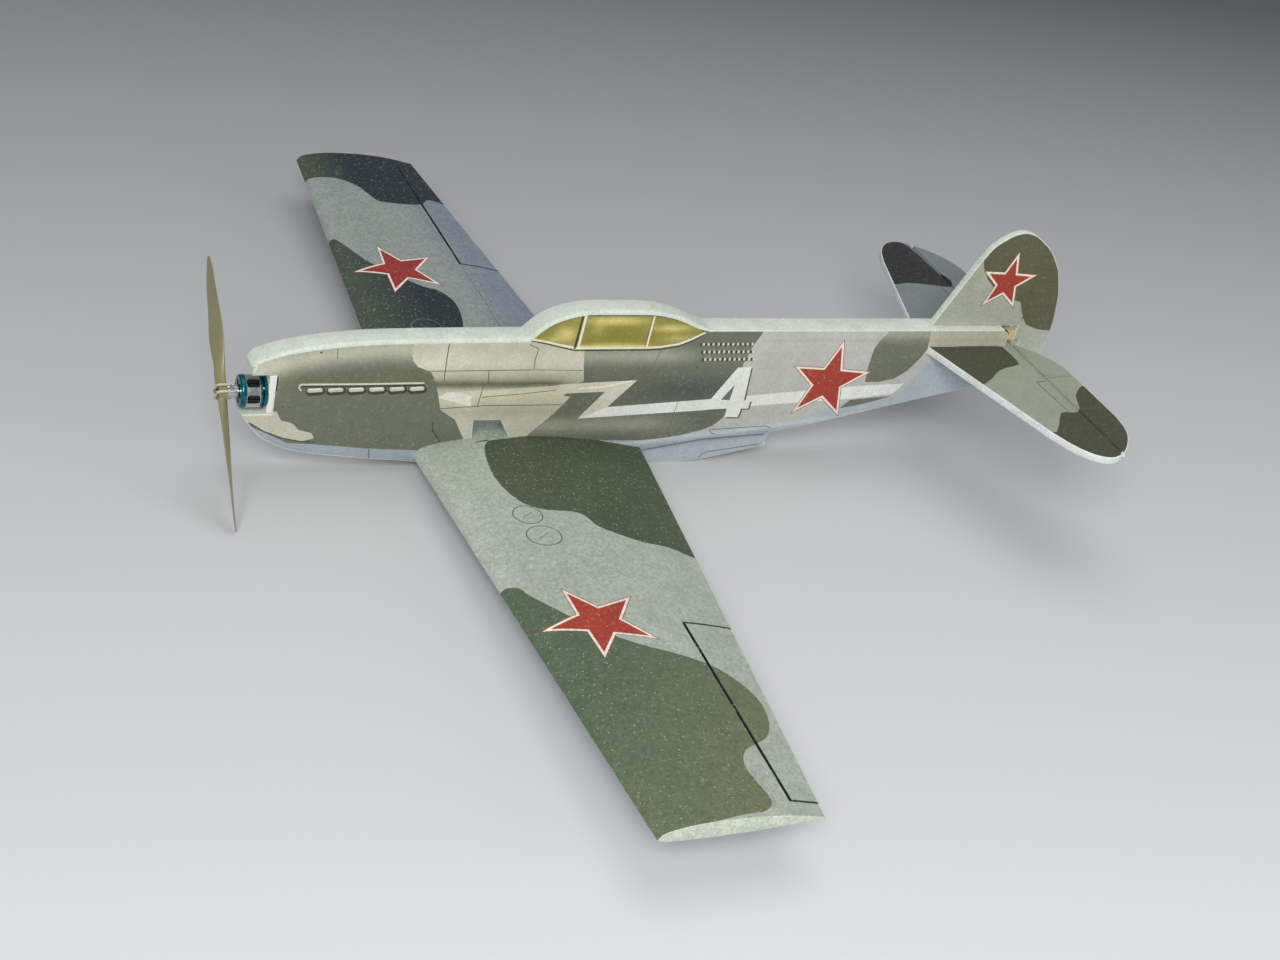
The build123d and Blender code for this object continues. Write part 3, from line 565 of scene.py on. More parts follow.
def printed_foam(name, bead, specks, gloss, contrast):
    """Expanded foam beads under a printed film: bead size in metres, share of bare specks, gloss and
    strength of the grain."""
    m = Surface(name)
    paint = m.node("ShaderNodeAttribute", attribute_name="print").outputs["Color"]
    seams = m.cells(1 / bead, "DISTANCE_TO_EDGE")["Distance"]
    grain = m.noise(800, 3.0, 0.85)
    mottle = m.noise(70, 4.0, 0.65)
    tone = m.product(
        m.ranged(m.cells(1 / bead)["Color"], 0.0, 1.0, 1 - contrast, 1 + contrast),
        m.ranged(grain, 0.3, 0.7, 1 - 1.6 * contrast, 1 + 1.6 * contrast),
        m.ranged(mottle, 0.3, 0.7, 0.93, 1.07),
        m.ranged(m.noise(11, 2.0), 0.3, 0.7, 0.96, 1.04),
    )
    bare_seams = m.product(
        m.ranged(seams, 0.0, 0.07, 1.0, 0.0), m.ranged(m.noise(330, 1.0), 0.58, 0.70, 0.0, 0.35)
    )
    flecks = m.product(
        m.ranged(m.cells(0.8 / bead)["Distance"], 0.10, 0.2, specks, 0.0),
        m.ranged(m.noise(240, 0.0), 0.62 - 0.14 * specks, 0.68 - 0.1 * specks, 0.0, 1.0),
    )
    colour = m.blended(flecks, m.blended(bare_seams, m.tinted(paint, tone), FOAM), SIDE_WARM)
    roughness = m.ranged(mottle, 0.25, 0.75, gloss - 0.07, gloss + 0.1)
    height = m.total(m.ranged(seams, 0.0, 0.24, 0.0, 1.0), m.ranged(grain, 0.0, 1.0, 0.0, 0.6))
    return m.finish(colour, roughness, height, 0.3, 0.00016, Specular_IOR_Level=0.38)


def plain(name, colour, roughness, spread=0.06, scale=400, metallic=0.0, bump=0.12, coat=0.0,
          stretch=(1.0, 1.0, 1.0), marks=None, band=None):
    """A moulded, machined or coated surface with its own small variation in colour, gloss and relief.
    marks is the colour of wear, band the start, end and colour of a stretch along X."""
    m = Surface(name)
    place = m.stretched(stretch)
    fine = m.noise(scale, 4.0, place=place)
    broad = m.noise(scale / 9, 2.0, place=place)
    tone = m.product(*(m.ranged(value, 0.3, 0.7, 1 - spread, 1 + spread) for value in (fine, broad)))
    paint = m.tinted(colour, tone)
    if marks:
        worn = m.ranged(m.noise(scale / 3, 6.0, 0.75, place), 0.62, 0.72, 0.0, 0.6)
        paint = m.blended(worn, paint, marks)
    if band:
        start, end, band_colour = band
        paint = m.blended(m.between(m.axes()["X"], start, end, 0.0002), paint, band_colour)
    gloss = m.ranged(broad, 0.3, 0.7, roughness - 0.06, roughness + 0.08)
    more = {"Metallic": metallic, "Coat_Weight": coat, "Coat_Roughness": 0.15}
    return m.finish(paint, gloss, fine, bump, 0.00008, **more)


def wrapped_wire(name, colour):
    """Turns of enamelled wire side by side, darker in the grooves between them: painted shade."""
    m = Surface(name)
    turns = m.threads(700, 1.2, "X")
    paint = m.tinted(colour, m.ranged(turns, 0.0, 1.0, 0.45, 1.15))
    return m.finish(paint, m.ranged(m.noise(500), 0.3, 0.7, 0.22, 0.4), turns, 0.6, 0.0002, Metallic=0.85)


def labelled(name, node, colour, label, margins, lump, depth, gloss):
    """Film or moulding over components, with a plain label on its broad sides. margins are the label's
    distances from the node's ends and edges, lump the size of what stands out under the surface."""
    m = Surface(name)
    low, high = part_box(node)
    sides = [
        m.between(m.axes()[axis], low[axis] + margin * MM, high[axis] - margin * MM, 0.0003)
        for axis, margin in zip((0, 2), margins)
    ]
    sticker = m.product(*sides)
    under = m.cells(1 / lump)["Distance"]
    film = m.noise(160, 4.0, place=m.stretched((1.0, 1.0, 3.0)))
    streaks = m.noise(420, 0.0, place=m.stretched((0.1, 1.0, 1.0)))
    # The tone is lighter over the lumps and darker between them: painted highlight and shade.
    tone = m.product(
        m.ranged(film, 0.3, 0.7, 0.8, 1.25),
        m.ranged(under, 0.1, 0.6, 1.2, 0.75),
        m.ranged(streaks, 0.56, 0.6, 1.0, 0.82),
    )
    paint = m.tinted(m.blended(sticker, colour, label), tone)
    height = m.total(m.ranged(under, 0.0, 0.7, 1.6, 0.0), film, m.ranged(sticker, 0.0, 1.0, 0.0, 0.4))
    roughness = m.ranged(film, 0.3, 0.7, gloss, gloss + 0.18)
    return m.finish(paint, roughness, height, 0.7, depth, Coat_Weight=0.3, Coat_Roughness=0.2)


def wood(name, pale, dark):
    """Pale wood with long grain along X."""
    m = Surface(name)
    grain = m.stretched((0.12, 1.0, 1.0))
    lines = m.noise(900, 5.0, 0.7, grain)
    bands = m.ranged(m.noise(150, 2.0, place=grain), 0.3, 0.7, 0.4, 1.0)
    paint = m.blended(m.product(m.ranged(lines, 0.35, 0.7, 0.0, 1.0), bands), pale, dark)
    return m.finish(paint, m.ranged(lines, 0.3, 0.7, 0.5, 0.72), lines, 0.3, 0.00012)


def woven(name, colour):
    """Close woven hook-and-loop band, darker between the threads: painted shade."""
    m = Surface(name)
    weave = m.product(m.threads(420, 0.8, "X"), m.threads(420, 0.8, "Z"))
    fluff = m.noise(900, 3.0, 0.7)
    paint = m.tinted(colour, m.ranged(m.total(weave, fluff), 0.2, 1.4, 0.5, 1.6))
    return m.finish(paint, m.ranged(fluff, 0.3, 0.7, 0.8, 0.95), weave, 0.5, 0.0003, Sheen_Weight=0.4)


def dress(slot, material, only=None):
    """Gives the shown CAD nodes of a record slot, or one of them, their material."""
    for part in frame["record"]["subparts"]:
        node = frame["nodes"][part["node"]]
        if part["material_slot"] == slot and not node.hide_render and only in (None, part["node"]):
            node.data.materials.clear()
            node.data.materials.append(material)
            node.data.set_sharp_from_angle(angle=math.radians(35))


side_print = printed_foam("slab_printed_foam", 0.0017, 0.22, 0.5, 0.08)
wing_print = printed_foam("wing_printed_foam", 0.0023, 0.8, 0.47, 0.16)
tail_print = printed_foam("tail_printed_foam", 0.0014, 0.15, 0.5, 0.09)


# ---------------------------------------------------------------- fuselage slab
SLAB_HALF = 10.0
slab_outline = counterclockwise(
    joined(
        straight([(332.5, 54), (311, 54), (311, 86), (327.5, 86), (327.5, 96.5)]),
        curve([(327.5, 96.5), (322, 99.6), (308, 104.5), (285, 109.1), (250, 112.9), (207.6, 114.3)]),
        straight([(207.6, 114.3), (126, 115.2)]),
        curve(
            [(126, 115.2), (115, 126), (103, 132.8), (84, 137.8), (56, 138.8), (29, 138.2), (14.8, 136.2)]
            + [(0.7, 132), (-11.6, 126.8), (-24, 122)]
        ),
        straight([(-24, 122), (-300.5, 122)]),
        curve([(-300.5, 122), (-304.7, 120.2), (-306.5, 116)]),
        straight([(-306.5, 116), (-306.5, 75)]),
        curve([(-306.5, 75), (-304.3, 70.6), (-298.5, 69.2)]),
        straight([(-298.5, 69.2), (-130, 31), (-102.5, 26.6), (-100.5, 17.5), (-103, 13.6)]),
        curve([(-103, 13.6), (-83, 9.6), (-48, 2.2), (-25, 0)]),
        straight([(-25, 0), (130, 0)]),
        curve(
            [(130, 0), (165, 2.6), (199, 8.6), (240, 13.4), (286, 20.3), (303, 25.8), (317, 34.4)]
            + [(327, 45.5), (332.5, 54)]
        ),
    )
)
window = np.array(straight([(157, 44.5), (134.6, 44.2), (123, 24), (155, 24), (157, 44.5)], 1.5))[:-1]

STUB_SHAPES = [
    ([(-0.2, 75.2), (-13.6, 75.4), (-15.2, 71.4), (-12.6, 69.4), (-2.6, 68.6), (-0.2, 70.8)], INK),
    ([(-1.4, 74.9), (-11.2, 75.3), (-12.6, 74.0), (-12.2, 72.0), (-3.0, 71.4), (-1.2, 72.6)], SIDE_BEIGE),
    ([(-2.4, 74.6), (-10.8, 74.9), (-11.0, 73.9), (-2.6, 73.6)], CREAM),
]
FIRST_STUB_X = 288.6
STUB_PITCH = 15.2
STUB_PLACES = [FIRST_STUB_X - i * STUB_PITCH for i in range(6)]
exhaust_stubs = [(np.array(shape) + (x, 0), colour) for x in STUB_PLACES for shape, colour in STUB_SHAPES]

ROOF = [(124.6, 114.2), (114.9, 123.6), (103.1, 130.4), (91.6, 134.2), (83.7, 135.3), (29.2, 135.5)]
ROOF += [(14.8, 133.9), (0.7, 129.6), (-11.6, 124.6), (-20.3, 120.6)]
SILL = [(-20.3, 120.6), (-9.1, 113.5), (0.7, 109), (16.4, 106.2), (28.1, 105.8), (85.3, 105.7)]
SILL += [(101.6, 109.6), (116.7, 113.2), (124.6, 114.2)]
roof_runs = [curve(ROOF[:5]), straight(ROOF[4:6]), curve(ROOF[5:])]
sill_runs = [curve(SILL[:5]), straight(SILL[4:6]), curve(SILL[5:])]
canopy = counterclockwise(joined(*roof_runs, *sill_runs))
# centre, reach and strength of each patch of shine on the glass
SHINES = [
    ((57, 130.5), (24, 3.4), 0.9),
    ((72, 126), (6, 8), 0.35),
    ((56, 108.5), (30, 2.6), 0.65),
    ((97, 119), (9, 6.5), 0.9),
    ((110, 114.6), (10, 2.4), 0.5),
    ((10, 124), (16, 3.0), 0.85),
    ((3, 115), (14, 4), 0.45),
]


def glass(points):
    """Gold canopy glass, each pane with its own airbrushed shine."""
    shine = sum(glow(points, centre, reach) * strength for centre, reach, strength in SHINES)
    return mixed(shine, GLASS, GLASS_GLOW)


def side_zone_front(points):
    """Front camouflage: green with a warm light band that fades in along the top of the cowling."""
    x, z = points[:, 0], points[:, 1]
    roof = 111.0 - 16.0 * np.clip((x - 215) / 112, 0, 1) ** 2.2
    band = ridge(roof - z, 4.0, 9.0) * 0.85
    nose = glow(points, (330, 90), (22, 14)) * 0.55
    return mixed(band + nose, mixed(ridge(z, 84, 9) * 0.6, SIDE_DARK, SIDE_OLIVE), SIDE_BEIGE)


def side_zone_middle(points):
    """Light panels under the cockpit, with a brown airbrushed line above the wing fairing."""
    x, z = points[:, 0], points[:, 1]
    seam = 75.9 - 0.4 * (150 - x) / 50
    grime = (ridge(z, seam, 3.4) * 0.95 + ridge(z, 80.5, 5.0) * 0.3) * np.clip((x - 62) / 40, 0.15, 1)
    low = ridge(z, 52, 6) * 0.25
    return mixed(grime + low, mixed(ridge(z, 96, 8), SIDE_BEIGE, CREAM_PANEL), SIDE_OLIVE)


def side_zone_under_cockpit(points):
    """Dark camouflage behind the wing fairing: light under the sill, navy above the stripe."""
    x, z = points[:, 0], points[:, 1]
    light = ridge(z, 100, 7) * 0.55 * np.clip((x + 30) / 40, 0.2, 1)
    navy = ridge(z, 68, 13) * 0.9 * np.clip((60 - x) / 60, 0.1, 1)
    navy += glow(points, (-25, 40), (30, 7)) * 0.5
    low = ridge(z, 38, 7) * 0.4 * np.clip((x + 40) / 60, 0, 1)
    tone = np.clip(1 - light - navy - low, 0, 1)[:, None] * np.array(SIDE_DARK)
    tone = tone + (light + low)[:, None] * np.array(SIDE_BEIGE) + navy[:, None] * np.array(SIDE_NAVY)
    return tone / np.maximum(1, light + low + navy)[:, None]


def side_zone_aft(points):
    """Aft dark patch, lighter along the deck."""
    return mixed((points[:, 1] - 108) / 14, SIDE_DARK, scaled(SIDE_BEIGE, 0.75))


def belly(points):
    """Pale blue underside paint, shaded along its fairings."""
    x, z = points[:, 0], points[:, 1]
    crease = 24.5 - 0.105 * (x - 10) * (x < 40)
    shade = ridge(z, crease - 9.5, 3.2) * 0.8 * (x < 60)
    glowing = ridge(z, crease - 4.0, 2.6) * 0.8 * (x < 60)
    under_nose = np.clip((x - 150) / 60, 0, 1) * 0.55
    return mixed(shade + under_nose, mixed(glowing, BELLY_BLUE, BELLY_GLOW), BELLY_SHADE)


front_zone = [
    (345, 125), (345, 44), (325, 44), (297, 29), (268, 26), (235, 22), (197, 19), (160, 14),
    (158, 24), (162, 28), (166, 35), (172, 46), (177, 49), (185, 55), (188, 66), (192, 78),
    (194, 82), (197, 87), (203, 90), (208, 92), (212, 97), (214, 102), (213, 118),
]
middle_zone = [(213.5, 118), (213.5, 14), (74, 14), (74, 118)]
mid_dark_zone = [
    (80, 128), (79, 104), (77, 92), (74, 78), (78, 76), (88, 65), (82, 64), (86, 58), (93, 49),
    (108, 33), (112, 28), (104, 25), (31, 22), (5, 22), (-22, 26), (-38, 30), (-48, 34), (-55, 41),
    (-60, 52), (-62, 66), (-61, 80), (-60, 91), (-62, 97), (-64, 107), (-70, 121), (-72, 128),
]
aft_dark_zone = [
    (-186, 128), (-186, 120), (-180, 112), (-177, 104), (-177, 96), (-177, 84), (-179, 73),
    (-192, 73), (-206, 76), (-216, 83), (-224, 94), (-229, 104), (-228, 112), (-226, 128),
]
belly_zone = [
    (345, 44), (325, 44), (311, 36), (297, 29), (283, 27), (268, 26), (235, 22), (197, 19),
    (160, 14), (100, 14), (48, 23), (15, 22), (-14, 24), (-40, 29), (-54, 33), (-102, 34),
    (-130, 40), (-165, 50), (-209, 58), (-216, 62), (-226, 75), (-231, 87), (-236, 96), (-246, 100),
    (-320, 103), (-320, 60), (-100, -10), (345, -10),
]
zigzag = [(29, 78), (78, 76), (93, 75), (90, 67), (54, 68), (72, 44), (49, 54)]
stripe = [
    (72, 44), (49, 54), (-33, 59), (-74, 62), (-165, 69), (-217, 71), (-212, 64), (-209, 61),
    (-169, 57), (-77, 52), (-35, 49),
]
numeral = np.array([(-56.3, 88.4), (-68.3, 88.7), (-70.2, 57.6), (-76.4, 57.4), (-76.0, 49.6), (-69.6, 49.8)]
                   + [(-69, 41.6), (-56.8, 42.0), (-56.6, 50.0), (-38.7, 49.6), (-39.2, 58.4)])
numeral_hole = np.array([(-49.0, 58.6), (-57.0, 58.2), (-57.8, 72.5)])
wedge = [(-162, 48), (-170, 56), (-209, 59), (-196, 55), (-176, 50)]
nose_patch = [
    (340, 56), (332, 57), (307, 56), (305, 51), (303, 48), (298, 47), (294, 45), (290, 40),
    (280, 37), (278, 34), (278, 32), (283, 31), (286, 30), (301, 33), (316, 40), (325, 47),
    (340, 50),
]
fairing = [
    (189, 63), (182, 70), (150, 71), (100, 74), (93, 75), (90, 67), (86, 63), (82, 62), (150, 62),
    (164, 60), (164, 53), (160, 53),
]
arrow = [(188, 65), (182, 70), (171, 69), (161, 66), (163, 63), (161, 57), (166, 58), (177, 62)]
tail_band = [(-224, 104), (-230, 121), (-320, 121), (-320, 104)]


def fairing_tone(points):
    """Cream wing fairing, brightest along its spine."""
    return mixed(ridge(points[:, 1], 68.5, 2.6), SIDE_WARM, CREAM_PANEL)


side_layers = [
    (middle_zone, side_zone_middle),
    (tail_band, scaled(SIDE_BEIGE, 0.9)),
    (fairing, fairing_tone),
    (arrow, display(226, 222, 206)),
    (front_zone, side_zone_front),
    (mid_dark_zone, side_zone_under_cockpit),
    (aft_dark_zone, side_zone_aft),
    (belly_zone, belly),
    (nose_patch, SIDE_BEIGE),
    (wedge, SIDE_DARK),
    line([(325.3, 46.6), (315.9, 40.1), (301.1, 33.4), (286.5, 29.8), (276, 29)], 0.8, INK),
    (stripe, WHITE),
    (zigzag, CREAM_PANEL),
    line([(77.6, 71), (56, 72.6), (33, 77.4)], 1.6, CREAM),
    line([(291.5, 76.6), (245, 76.3), (200.5, 76.4)], 1.6, INK),
    line([(292.5, 78.4), (245, 78.0), (201.0, 78.2)], 1.5, CREAM_PANEL),
    line([(292.8, 78.6), (293.6, 75.6), (291.6, 73.0)], 1.2, CREAM_PANEL),
    *exhaust_stubs,
    line([(187.2, 112), (187, 100), (186, 79)], 0.8),
    line([(213, 88.4), (187.4, 88.2), (116.9, 88.4), (117.6, 98), (116.4, 106.6), (124.5, 110.4)]),
    line([(116.9, 88.4), (77, 87.4)], 0.5),
    line([(152.5, 88), (150.8, 77)]),
    line([(154.5, 75), (155.5, 62.5), (156, 56)]),
    line([(186, 55.6), (150, 57.5), (88, 57.0)]),
    line([(154, 65), (120, 67.5), (95, 70.2)], 0.6),
    line([(189, 43.4), (187.6, 36), (180.4, 26.5)], 0.9, INK),
    line([(268.5, 99), (269.5, 107.5)], 0.6),
    line([(234.9, 21.6), (233.5, 12.6)]),
    line([(15.5, 104), (22, 78), (25, 56)], 0.5),
    line([(-24, 103), (-15.5, 80), (-11, 56), (-9, 30)], 0.5),
    line([(-46.4, 30.2), (-97.2, 32.5), (-102, 30.5)]),
    line([(-46.4, 30.2), (-48, 27.4), (-52, 26.0)]),
    line([(9.3, 12.5), (-16, 17.0), (-41.8, 21.2), (-97.2, 24.4)], 1.5, display(112, 120, 132)),
    line([(-43.4, 3.2), (-45.5, 7.4), (-50.8, 9.1), (-97.5, 15)]),
    line([(-228, 104.5), (-262, 106.4), (-300, 106.6)], 0.5),
    (ellipse((281, 104.6), 0.9, 0.9, np.arange(8) * math.tau / 8), INK),
    (canopy, glass),
    line([(124.6, 113.8), (110, 110.6), (101.6, 108.4), (86.5, 104.9), (28.1, 105.0), (16.4, 105.4)]
         + [(0.7, 108.1), (-9.1, 112.6), (-20.3, 120.0)], 1.1, INK),
    line([(124.2, 114.8), (110, 112.2), (101.6, 110.2), (86.0, 107.0), (28.1, 107.0), (16.4, 107.6)]
         + [(0.7, 110.3), (-9.1, 114.6), (-19.6, 120.6)], 1.7, CREAM),
    line([(123.6, 115.2), (114.4, 123.2), (103, 129.8), (91.6, 133.6), (83.7, 134.8), (29.2, 135)]
         + [(14.8, 133.4), (0.7, 129.1), (-11.6, 124.1), (-19.6, 120.6)], 1.0, SHADE),
    line([(86.6, 134.6), (87.6, 106.6)], 1.8, INK),
    line([(84.1, 134.8), (84.9, 106.6)], 2.0, CREAM),
    line([(27.8, 134.6), (28.2, 107)], 1.5, CREAM),
    line([(29.3, 134.6), (29.7, 107)], 0.6, SHADE),
    line([(83.5, 108.6), (29.6, 108.8)], 1.0, GLASS_GLOW),
]
LOUVRE_ROWS = [(-17.0, 109.4), (-19.5, 102.5), (-22.0, 95.7)]
LOUVRE_PITCH = 4.3
for row_start, z in LOUVRE_ROWS:
    for i in range(11):
        x = row_start - i * LOUVRE_PITCH
        hole = [(x, z + 1.6), (x - 2.1, z + 1.6), (x - 2.5, z - 1.4), (x - 0.4, z - 1.4)]
        lip = [(x - 2.1, z + 1.6), (x - 3.9, z + 1.6), (x - 4.3, z - 0.8), (x - 2.4, z - 0.8)]
        side_layers += [(hole, INK), (lip, CREAM_PANEL)]
side_layers += star_layers((-143.1, 74.0), 40.2, 95.0)


def side_art(facing):
    """One side's print: its numeral reads the right way round, facing is 1 for port and -1 for starboard."""
    middle = np.array((-57.0, 0.0))
    strokes, hole = ((shape - middle) * (facing, 1) + middle for shape in (numeral, numeral_hole))
    drop = (-1.4 * facing, -1.2)
    marks = [(strokes + drop, SIDE_NAVY), (strokes, WHITE), (hole, SIDE_DARK)]
    return SIDE_LIGHT, [*side_layers, *marks], side_tone


def side_tone(points):
    """Airbrushed shading along the deck and faint stringers behind the cockpit."""
    x, z = points[:, 0], points[:, 1]
    tone = 1.0 + 0.05 * np.clip((z - 60) / 60, -1, 1)
    for height in (112.5, 100.5, 88.5):
        tone -= 0.07 * ridge(z, height, 1.1) * np.clip((-66 - x) / 14, 0, 1)
    return tone


def slab_rim(points):
    """Sanded rounding: generous along the cowling and canopy, small elsewhere."""
    x, z = points[:, 0], points[:, 2]
    top = np.clip((z - 96) / 6, 0, 1) * np.clip((x + 26) / 12, 0, 1)
    nose = np.clip((x - 318) / 6, 0, 1) * np.clip((z - 88) / 4, 0, 1)
    return 0.9 + 2.0 * np.clip(top + nose, 0, 1), np.zeros(len(points))


slab_loop = inset(slab_outline, slab_rim(flat(1, 0.0)(slab_outline))[0])
window_loop = inset(counterclockwise(window), -0.6)[::-1]
port_face, starboard_face = flat(1, SLAB_HALF), flat(1, -SLAB_HALF)
slab = sheet_mesh("slab_skin", [slab_loop, window_loop], port_face, starboard_face, slab_rim,
                  side_art(1), side_art(-1), slab_edges, 2.6)


def room_for(node, clearance=0.4):
    """A cutter that leaves room for a CAD node let into the slab's starboard face."""
    low, high = (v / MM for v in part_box(node))
    margin = Vector((clearance, clearance, clearance))
    low, high = low - margin, high + margin
    low.y = -SLAB_HALF - 5
    return box_cutter(low, high, Matrix.Identity(4))


carve(slab, [room_for("battery_pack"), room_for("speed_controller"), room_for("receiver")])
finished(slab, "airframe", ["fuselage_slab"], side_print)

# ---------------------------------------------------------------- wing
HALF_SPAN = 443.0
ROOT_CHORD, TIP_CHORD = 190.0, 111.0
ROOT_NOSE, TIP_NOSE = 200.0, 184.5
ROOT_HEIGHT = 13.0
DIHEDRAL = math.radians(3.5)
UPPER = curve([(0, 0), (0.012, 0.026), (0.05, 0.048), (0.2, 0.077), (0.4, 0.083), (0.6, 0.075), (0.8, 0.05)]
              + [(1, 0.008)], 0.004)
LOWER = curve([(0, 0), (0.012, -0.010), (0.05, -0.017), (0.2, -0.026), (0.5, -0.026), (1, -0.008)], 0.004)
UPPER, LOWER = np.array(UPPER), np.array(LOWER)
WALK = np.concatenate([[0], np.cumsum(np.linalg.norm(np.diff(UPPER, axis=0), axis=1))])
HINGE_INNER = np.array((83.8, 251.4, 33.9))
HINGE_OUTER = np.array((91.8, 429.0, 41.4))
HINGE_SPAN = float(np.linalg.norm((HINGE_OUTER - HINGE_INNER)[:2]))
HINGE_ALONG = (HINGE_OUTER - HINGE_INNER)[:2] / HINGE_SPAN
HINGE_AFT = np.array((-HINGE_ALONG[1], HINGE_ALONG[0]))
HINGE_GAP = 0.75
END_GAP = 0.6
SKIN_EDGE = 0.45


def chord(y):
    return ROOT_CHORD + (TIP_CHORD - ROOT_CHORD) * y / HALF_SPAN


def nose_x(y):
    return ROOT_NOSE + (TIP_NOSE - ROOT_NOSE) * y / HALF_SPAN


def chord_z(y):
    return ROOT_HEIGHT + y * math.tan(DIHEDRAL)


def to_skin(points):
    """Plan points (x, y) as distances along the upper skin and the span."""
    points = np.asarray(points, float)
    y = points[:, 1]
    share = (nose_x(y) - points[:, 0]) / chord(y)
    walked = np.interp(share, UPPER[:, 0], WALK)
    walked = np.where(share < 0, share, np.where(share > 1, WALK[-1] + share - 1, walked))
    return np.stack([-walked * chord(y), y], axis=1)


def from_skin(points):
    """The share of the chord and the span of points on the skin."""
    y = points[:, 1]
    return np.interp(-points[:, 0] / chord(y), WALK, UPPER[:, 0]), y


def skin_point(share, y, section):
    height = np.interp(share, section[:, 0], section[:, 1])
    return np.stack([nose_x(y) - share * chord(y), y, chord_z(y) + height * chord(y)], axis=1)


def wing_top(points):
    return skin_point(*from_skin(points), UPPER)


def wing_under(points):
    return skin_point(*from_skin(points), LOWER)


def hinge_point(station, aft):
    """A plan point at a station along the aileron's hinge line and a distance behind it."""
    return HINGE_INNER[:2] + HINGE_ALONG * station + HINGE_AFT * aft


def at_trailing_edge(station, before=0.0):
    """Where a chordwise cut at a station of the hinge line comes within a distance of the trailing edge."""
    low, high = 0.0, 60.0
    for _ in range(40):
        aft = (low + high) / 2
        x, y = hinge_point(station, aft)
        low, high = (aft, high) if x > nose_x(y) - chord(y) else (low, aft)
    return hinge_point(station, low) + (before, 0)


bay_start, bay_end = -END_GAP - SKIN_EDGE, HINGE_SPAN + END_GAP + SKIN_EDGE
tip_y = HALF_SPAN - SKIN_EDGE
tip_tail = (TIP_NOSE - TIP_CHORD + SKIN_EDGE, tip_y)
root_tail = (ROOT_NOSE - ROOT_CHORD + SKIN_EDGE, 0.0)
wing_plan = joined(
    straight([(ROOT_NOSE, 0.0), (TIP_NOSE, tip_y), tip_tail]),
    straight([tip_tail, at_trailing_edge(bay_end, SKIN_EDGE)]),
    straight([at_trailing_edge(bay_end, SKIN_EDGE), hinge_point(bay_end, -HINGE_GAP - SKIN_EDGE)]),
    straight([hinge_point(bay_end, -HINGE_GAP - SKIN_EDGE), hinge_point(bay_start, -HINGE_GAP - SKIN_EDGE)]),
    straight([hinge_point(bay_start, -HINGE_GAP - SKIN_EDGE), at_trailing_edge(bay_start, SKIN_EDGE)]),
    straight([at_trailing_edge(bay_start, SKIN_EDGE), root_tail, (ROOT_NOSE, 0.0)]),
)
aileron_inner_end, aileron_outer_end = SKIN_EDGE, HINGE_SPAN - SKIN_EDGE
aileron_corners = [
    hinge_point(aileron_inner_end, HINGE_GAP + SKIN_EDGE),
    at_trailing_edge(aileron_inner_end, SKIN_EDGE),
    at_trailing_edge(aileron_outer_end, SKIN_EDGE),
    hinge_point(aileron_outer_end, HINGE_GAP + SKIN_EDGE),
]
aileron_plan = joined(straight([*aileron_corners, aileron_corners[0]]))


def behind_hinge(points):
    """How far points lie behind the hinge line."""
    return (points[:, :2] - HINGE_INNER[:2]) @ HINGE_AFT


def wing_edges(points):
    """Bare foam at the tip, and painted shade on the edges in the gap round the aileron."""
    station = (points[:, :2] - HINGE_INNER[:2]) @ HINGE_ALONG
    in_gap = (behind_hinge(points) > -2.5) & (station > -2.5) & (station < HINGE_SPAN + 2.5)
    at_tail = points[:, 0] < nose_x(points[:, 1]) - chord(points[:, 1]) + 0.8
    at_end = (station < 1.0) | (station > HINGE_SPAN - 1.0)
    dark = in_gap & ((behind_hinge(points) < 6.0) | (at_end & ~at_tail))
    return np.where(dark[:, None], GAP_SHADE, TIP_FOAM)


def bevel_depth(points):
    """How far the aileron's lower front edge is cut back, so that it clears the bay when it drops."""
    return 4.15 - 2.15 * (points[:, 1] - HINGE_INNER[1]) / (HINGE_OUTER[1] - HINGE_INNER[1])


def aileron_under(points):
    skin = wing_under(points)
    back = bevel_depth(skin) * np.clip(1 - (behind_hinge(skin) - 1.2) / 11, 0, 1)
    x, y = (skin[:, :2] + HINGE_AFT * back[:, None]).T
    return skin_point(np.clip((nose_x(y) - x) / chord(y), 0, 1), y, LOWER)


def wing_rim(points):
    return np.full(len(points), SKIN_EDGE), np.zeros(len(points))


def aileron_rim(points):
    return np.full(len(points), SKIN_EDGE), np.where(behind_hinge(points) < 4.5, bevel_depth(points), 0.0)


def on_skin(layers):
    """Layers drawn in plan, moved onto the skin's own coordinates."""
    return [(to_skin(straight([*polygon, polygon[0]], 3.0)[:-1]), colour) for polygon, colour in layers]


patch_root = curve(
    [(160, 18), (144, 14), (150, 24), (156, 67), (147, 102), (134, 112), (111, 117), (106, 122), (100, 136)]
    + [(74, 153), (52, 158), (31, 169), (1, 174), (-4, -10)]
)
patch_tip = curve(
    [(205, 188), (184, 198), (180, 208), (152, 252), (130, 272), (81, 301), (65, 328), (66, 348), (77, 369)]
    + [(102, 385), (108, 398), (106, 431), (114, 438), (124, 439), (205, 450)]
)
far_root = curve(
    [(205, 294), (187, 295), (182, 285), (166, 247), (132, 208), (120, 202), (110, 183), (118, 134)]
    + [(142, 101), (175, 89), (205, 112)]
)
far_tip = curve(
    [(205, 405), (171, 398), (158, 393), (144, 380), (134, 358), (130, 353), (110, 351), (89, 356)]
    + [(80, 367), (73, 369), (65, 367), (51, 360)]
) + [(51, 453), (205, 455)]
far_middle = curve([(57, 48), (66, 54), (96, 50), (110, 21), (104, -29)]) + [(1, -7), (1, 58)]
far_whole = [(205, -5), (-5, -5), (-5, 455), (205, 455)]


def wing_mix(near, far, start, end):
    """A paint that fades across the chord from near the nose to far behind it."""

    def paint(points):
        share, _ = from_skin(points)
        return mixed((share - start) / (end - start), near, far)

    return paint


def tip_paint(points):
    """Green near the nose, olive towards the tip and trailing edge."""
    share, y = from_skin(points)
    return mixed(share * 0.9 + (y - 330) / 220, WING_GREEN, WING_OLIVE)


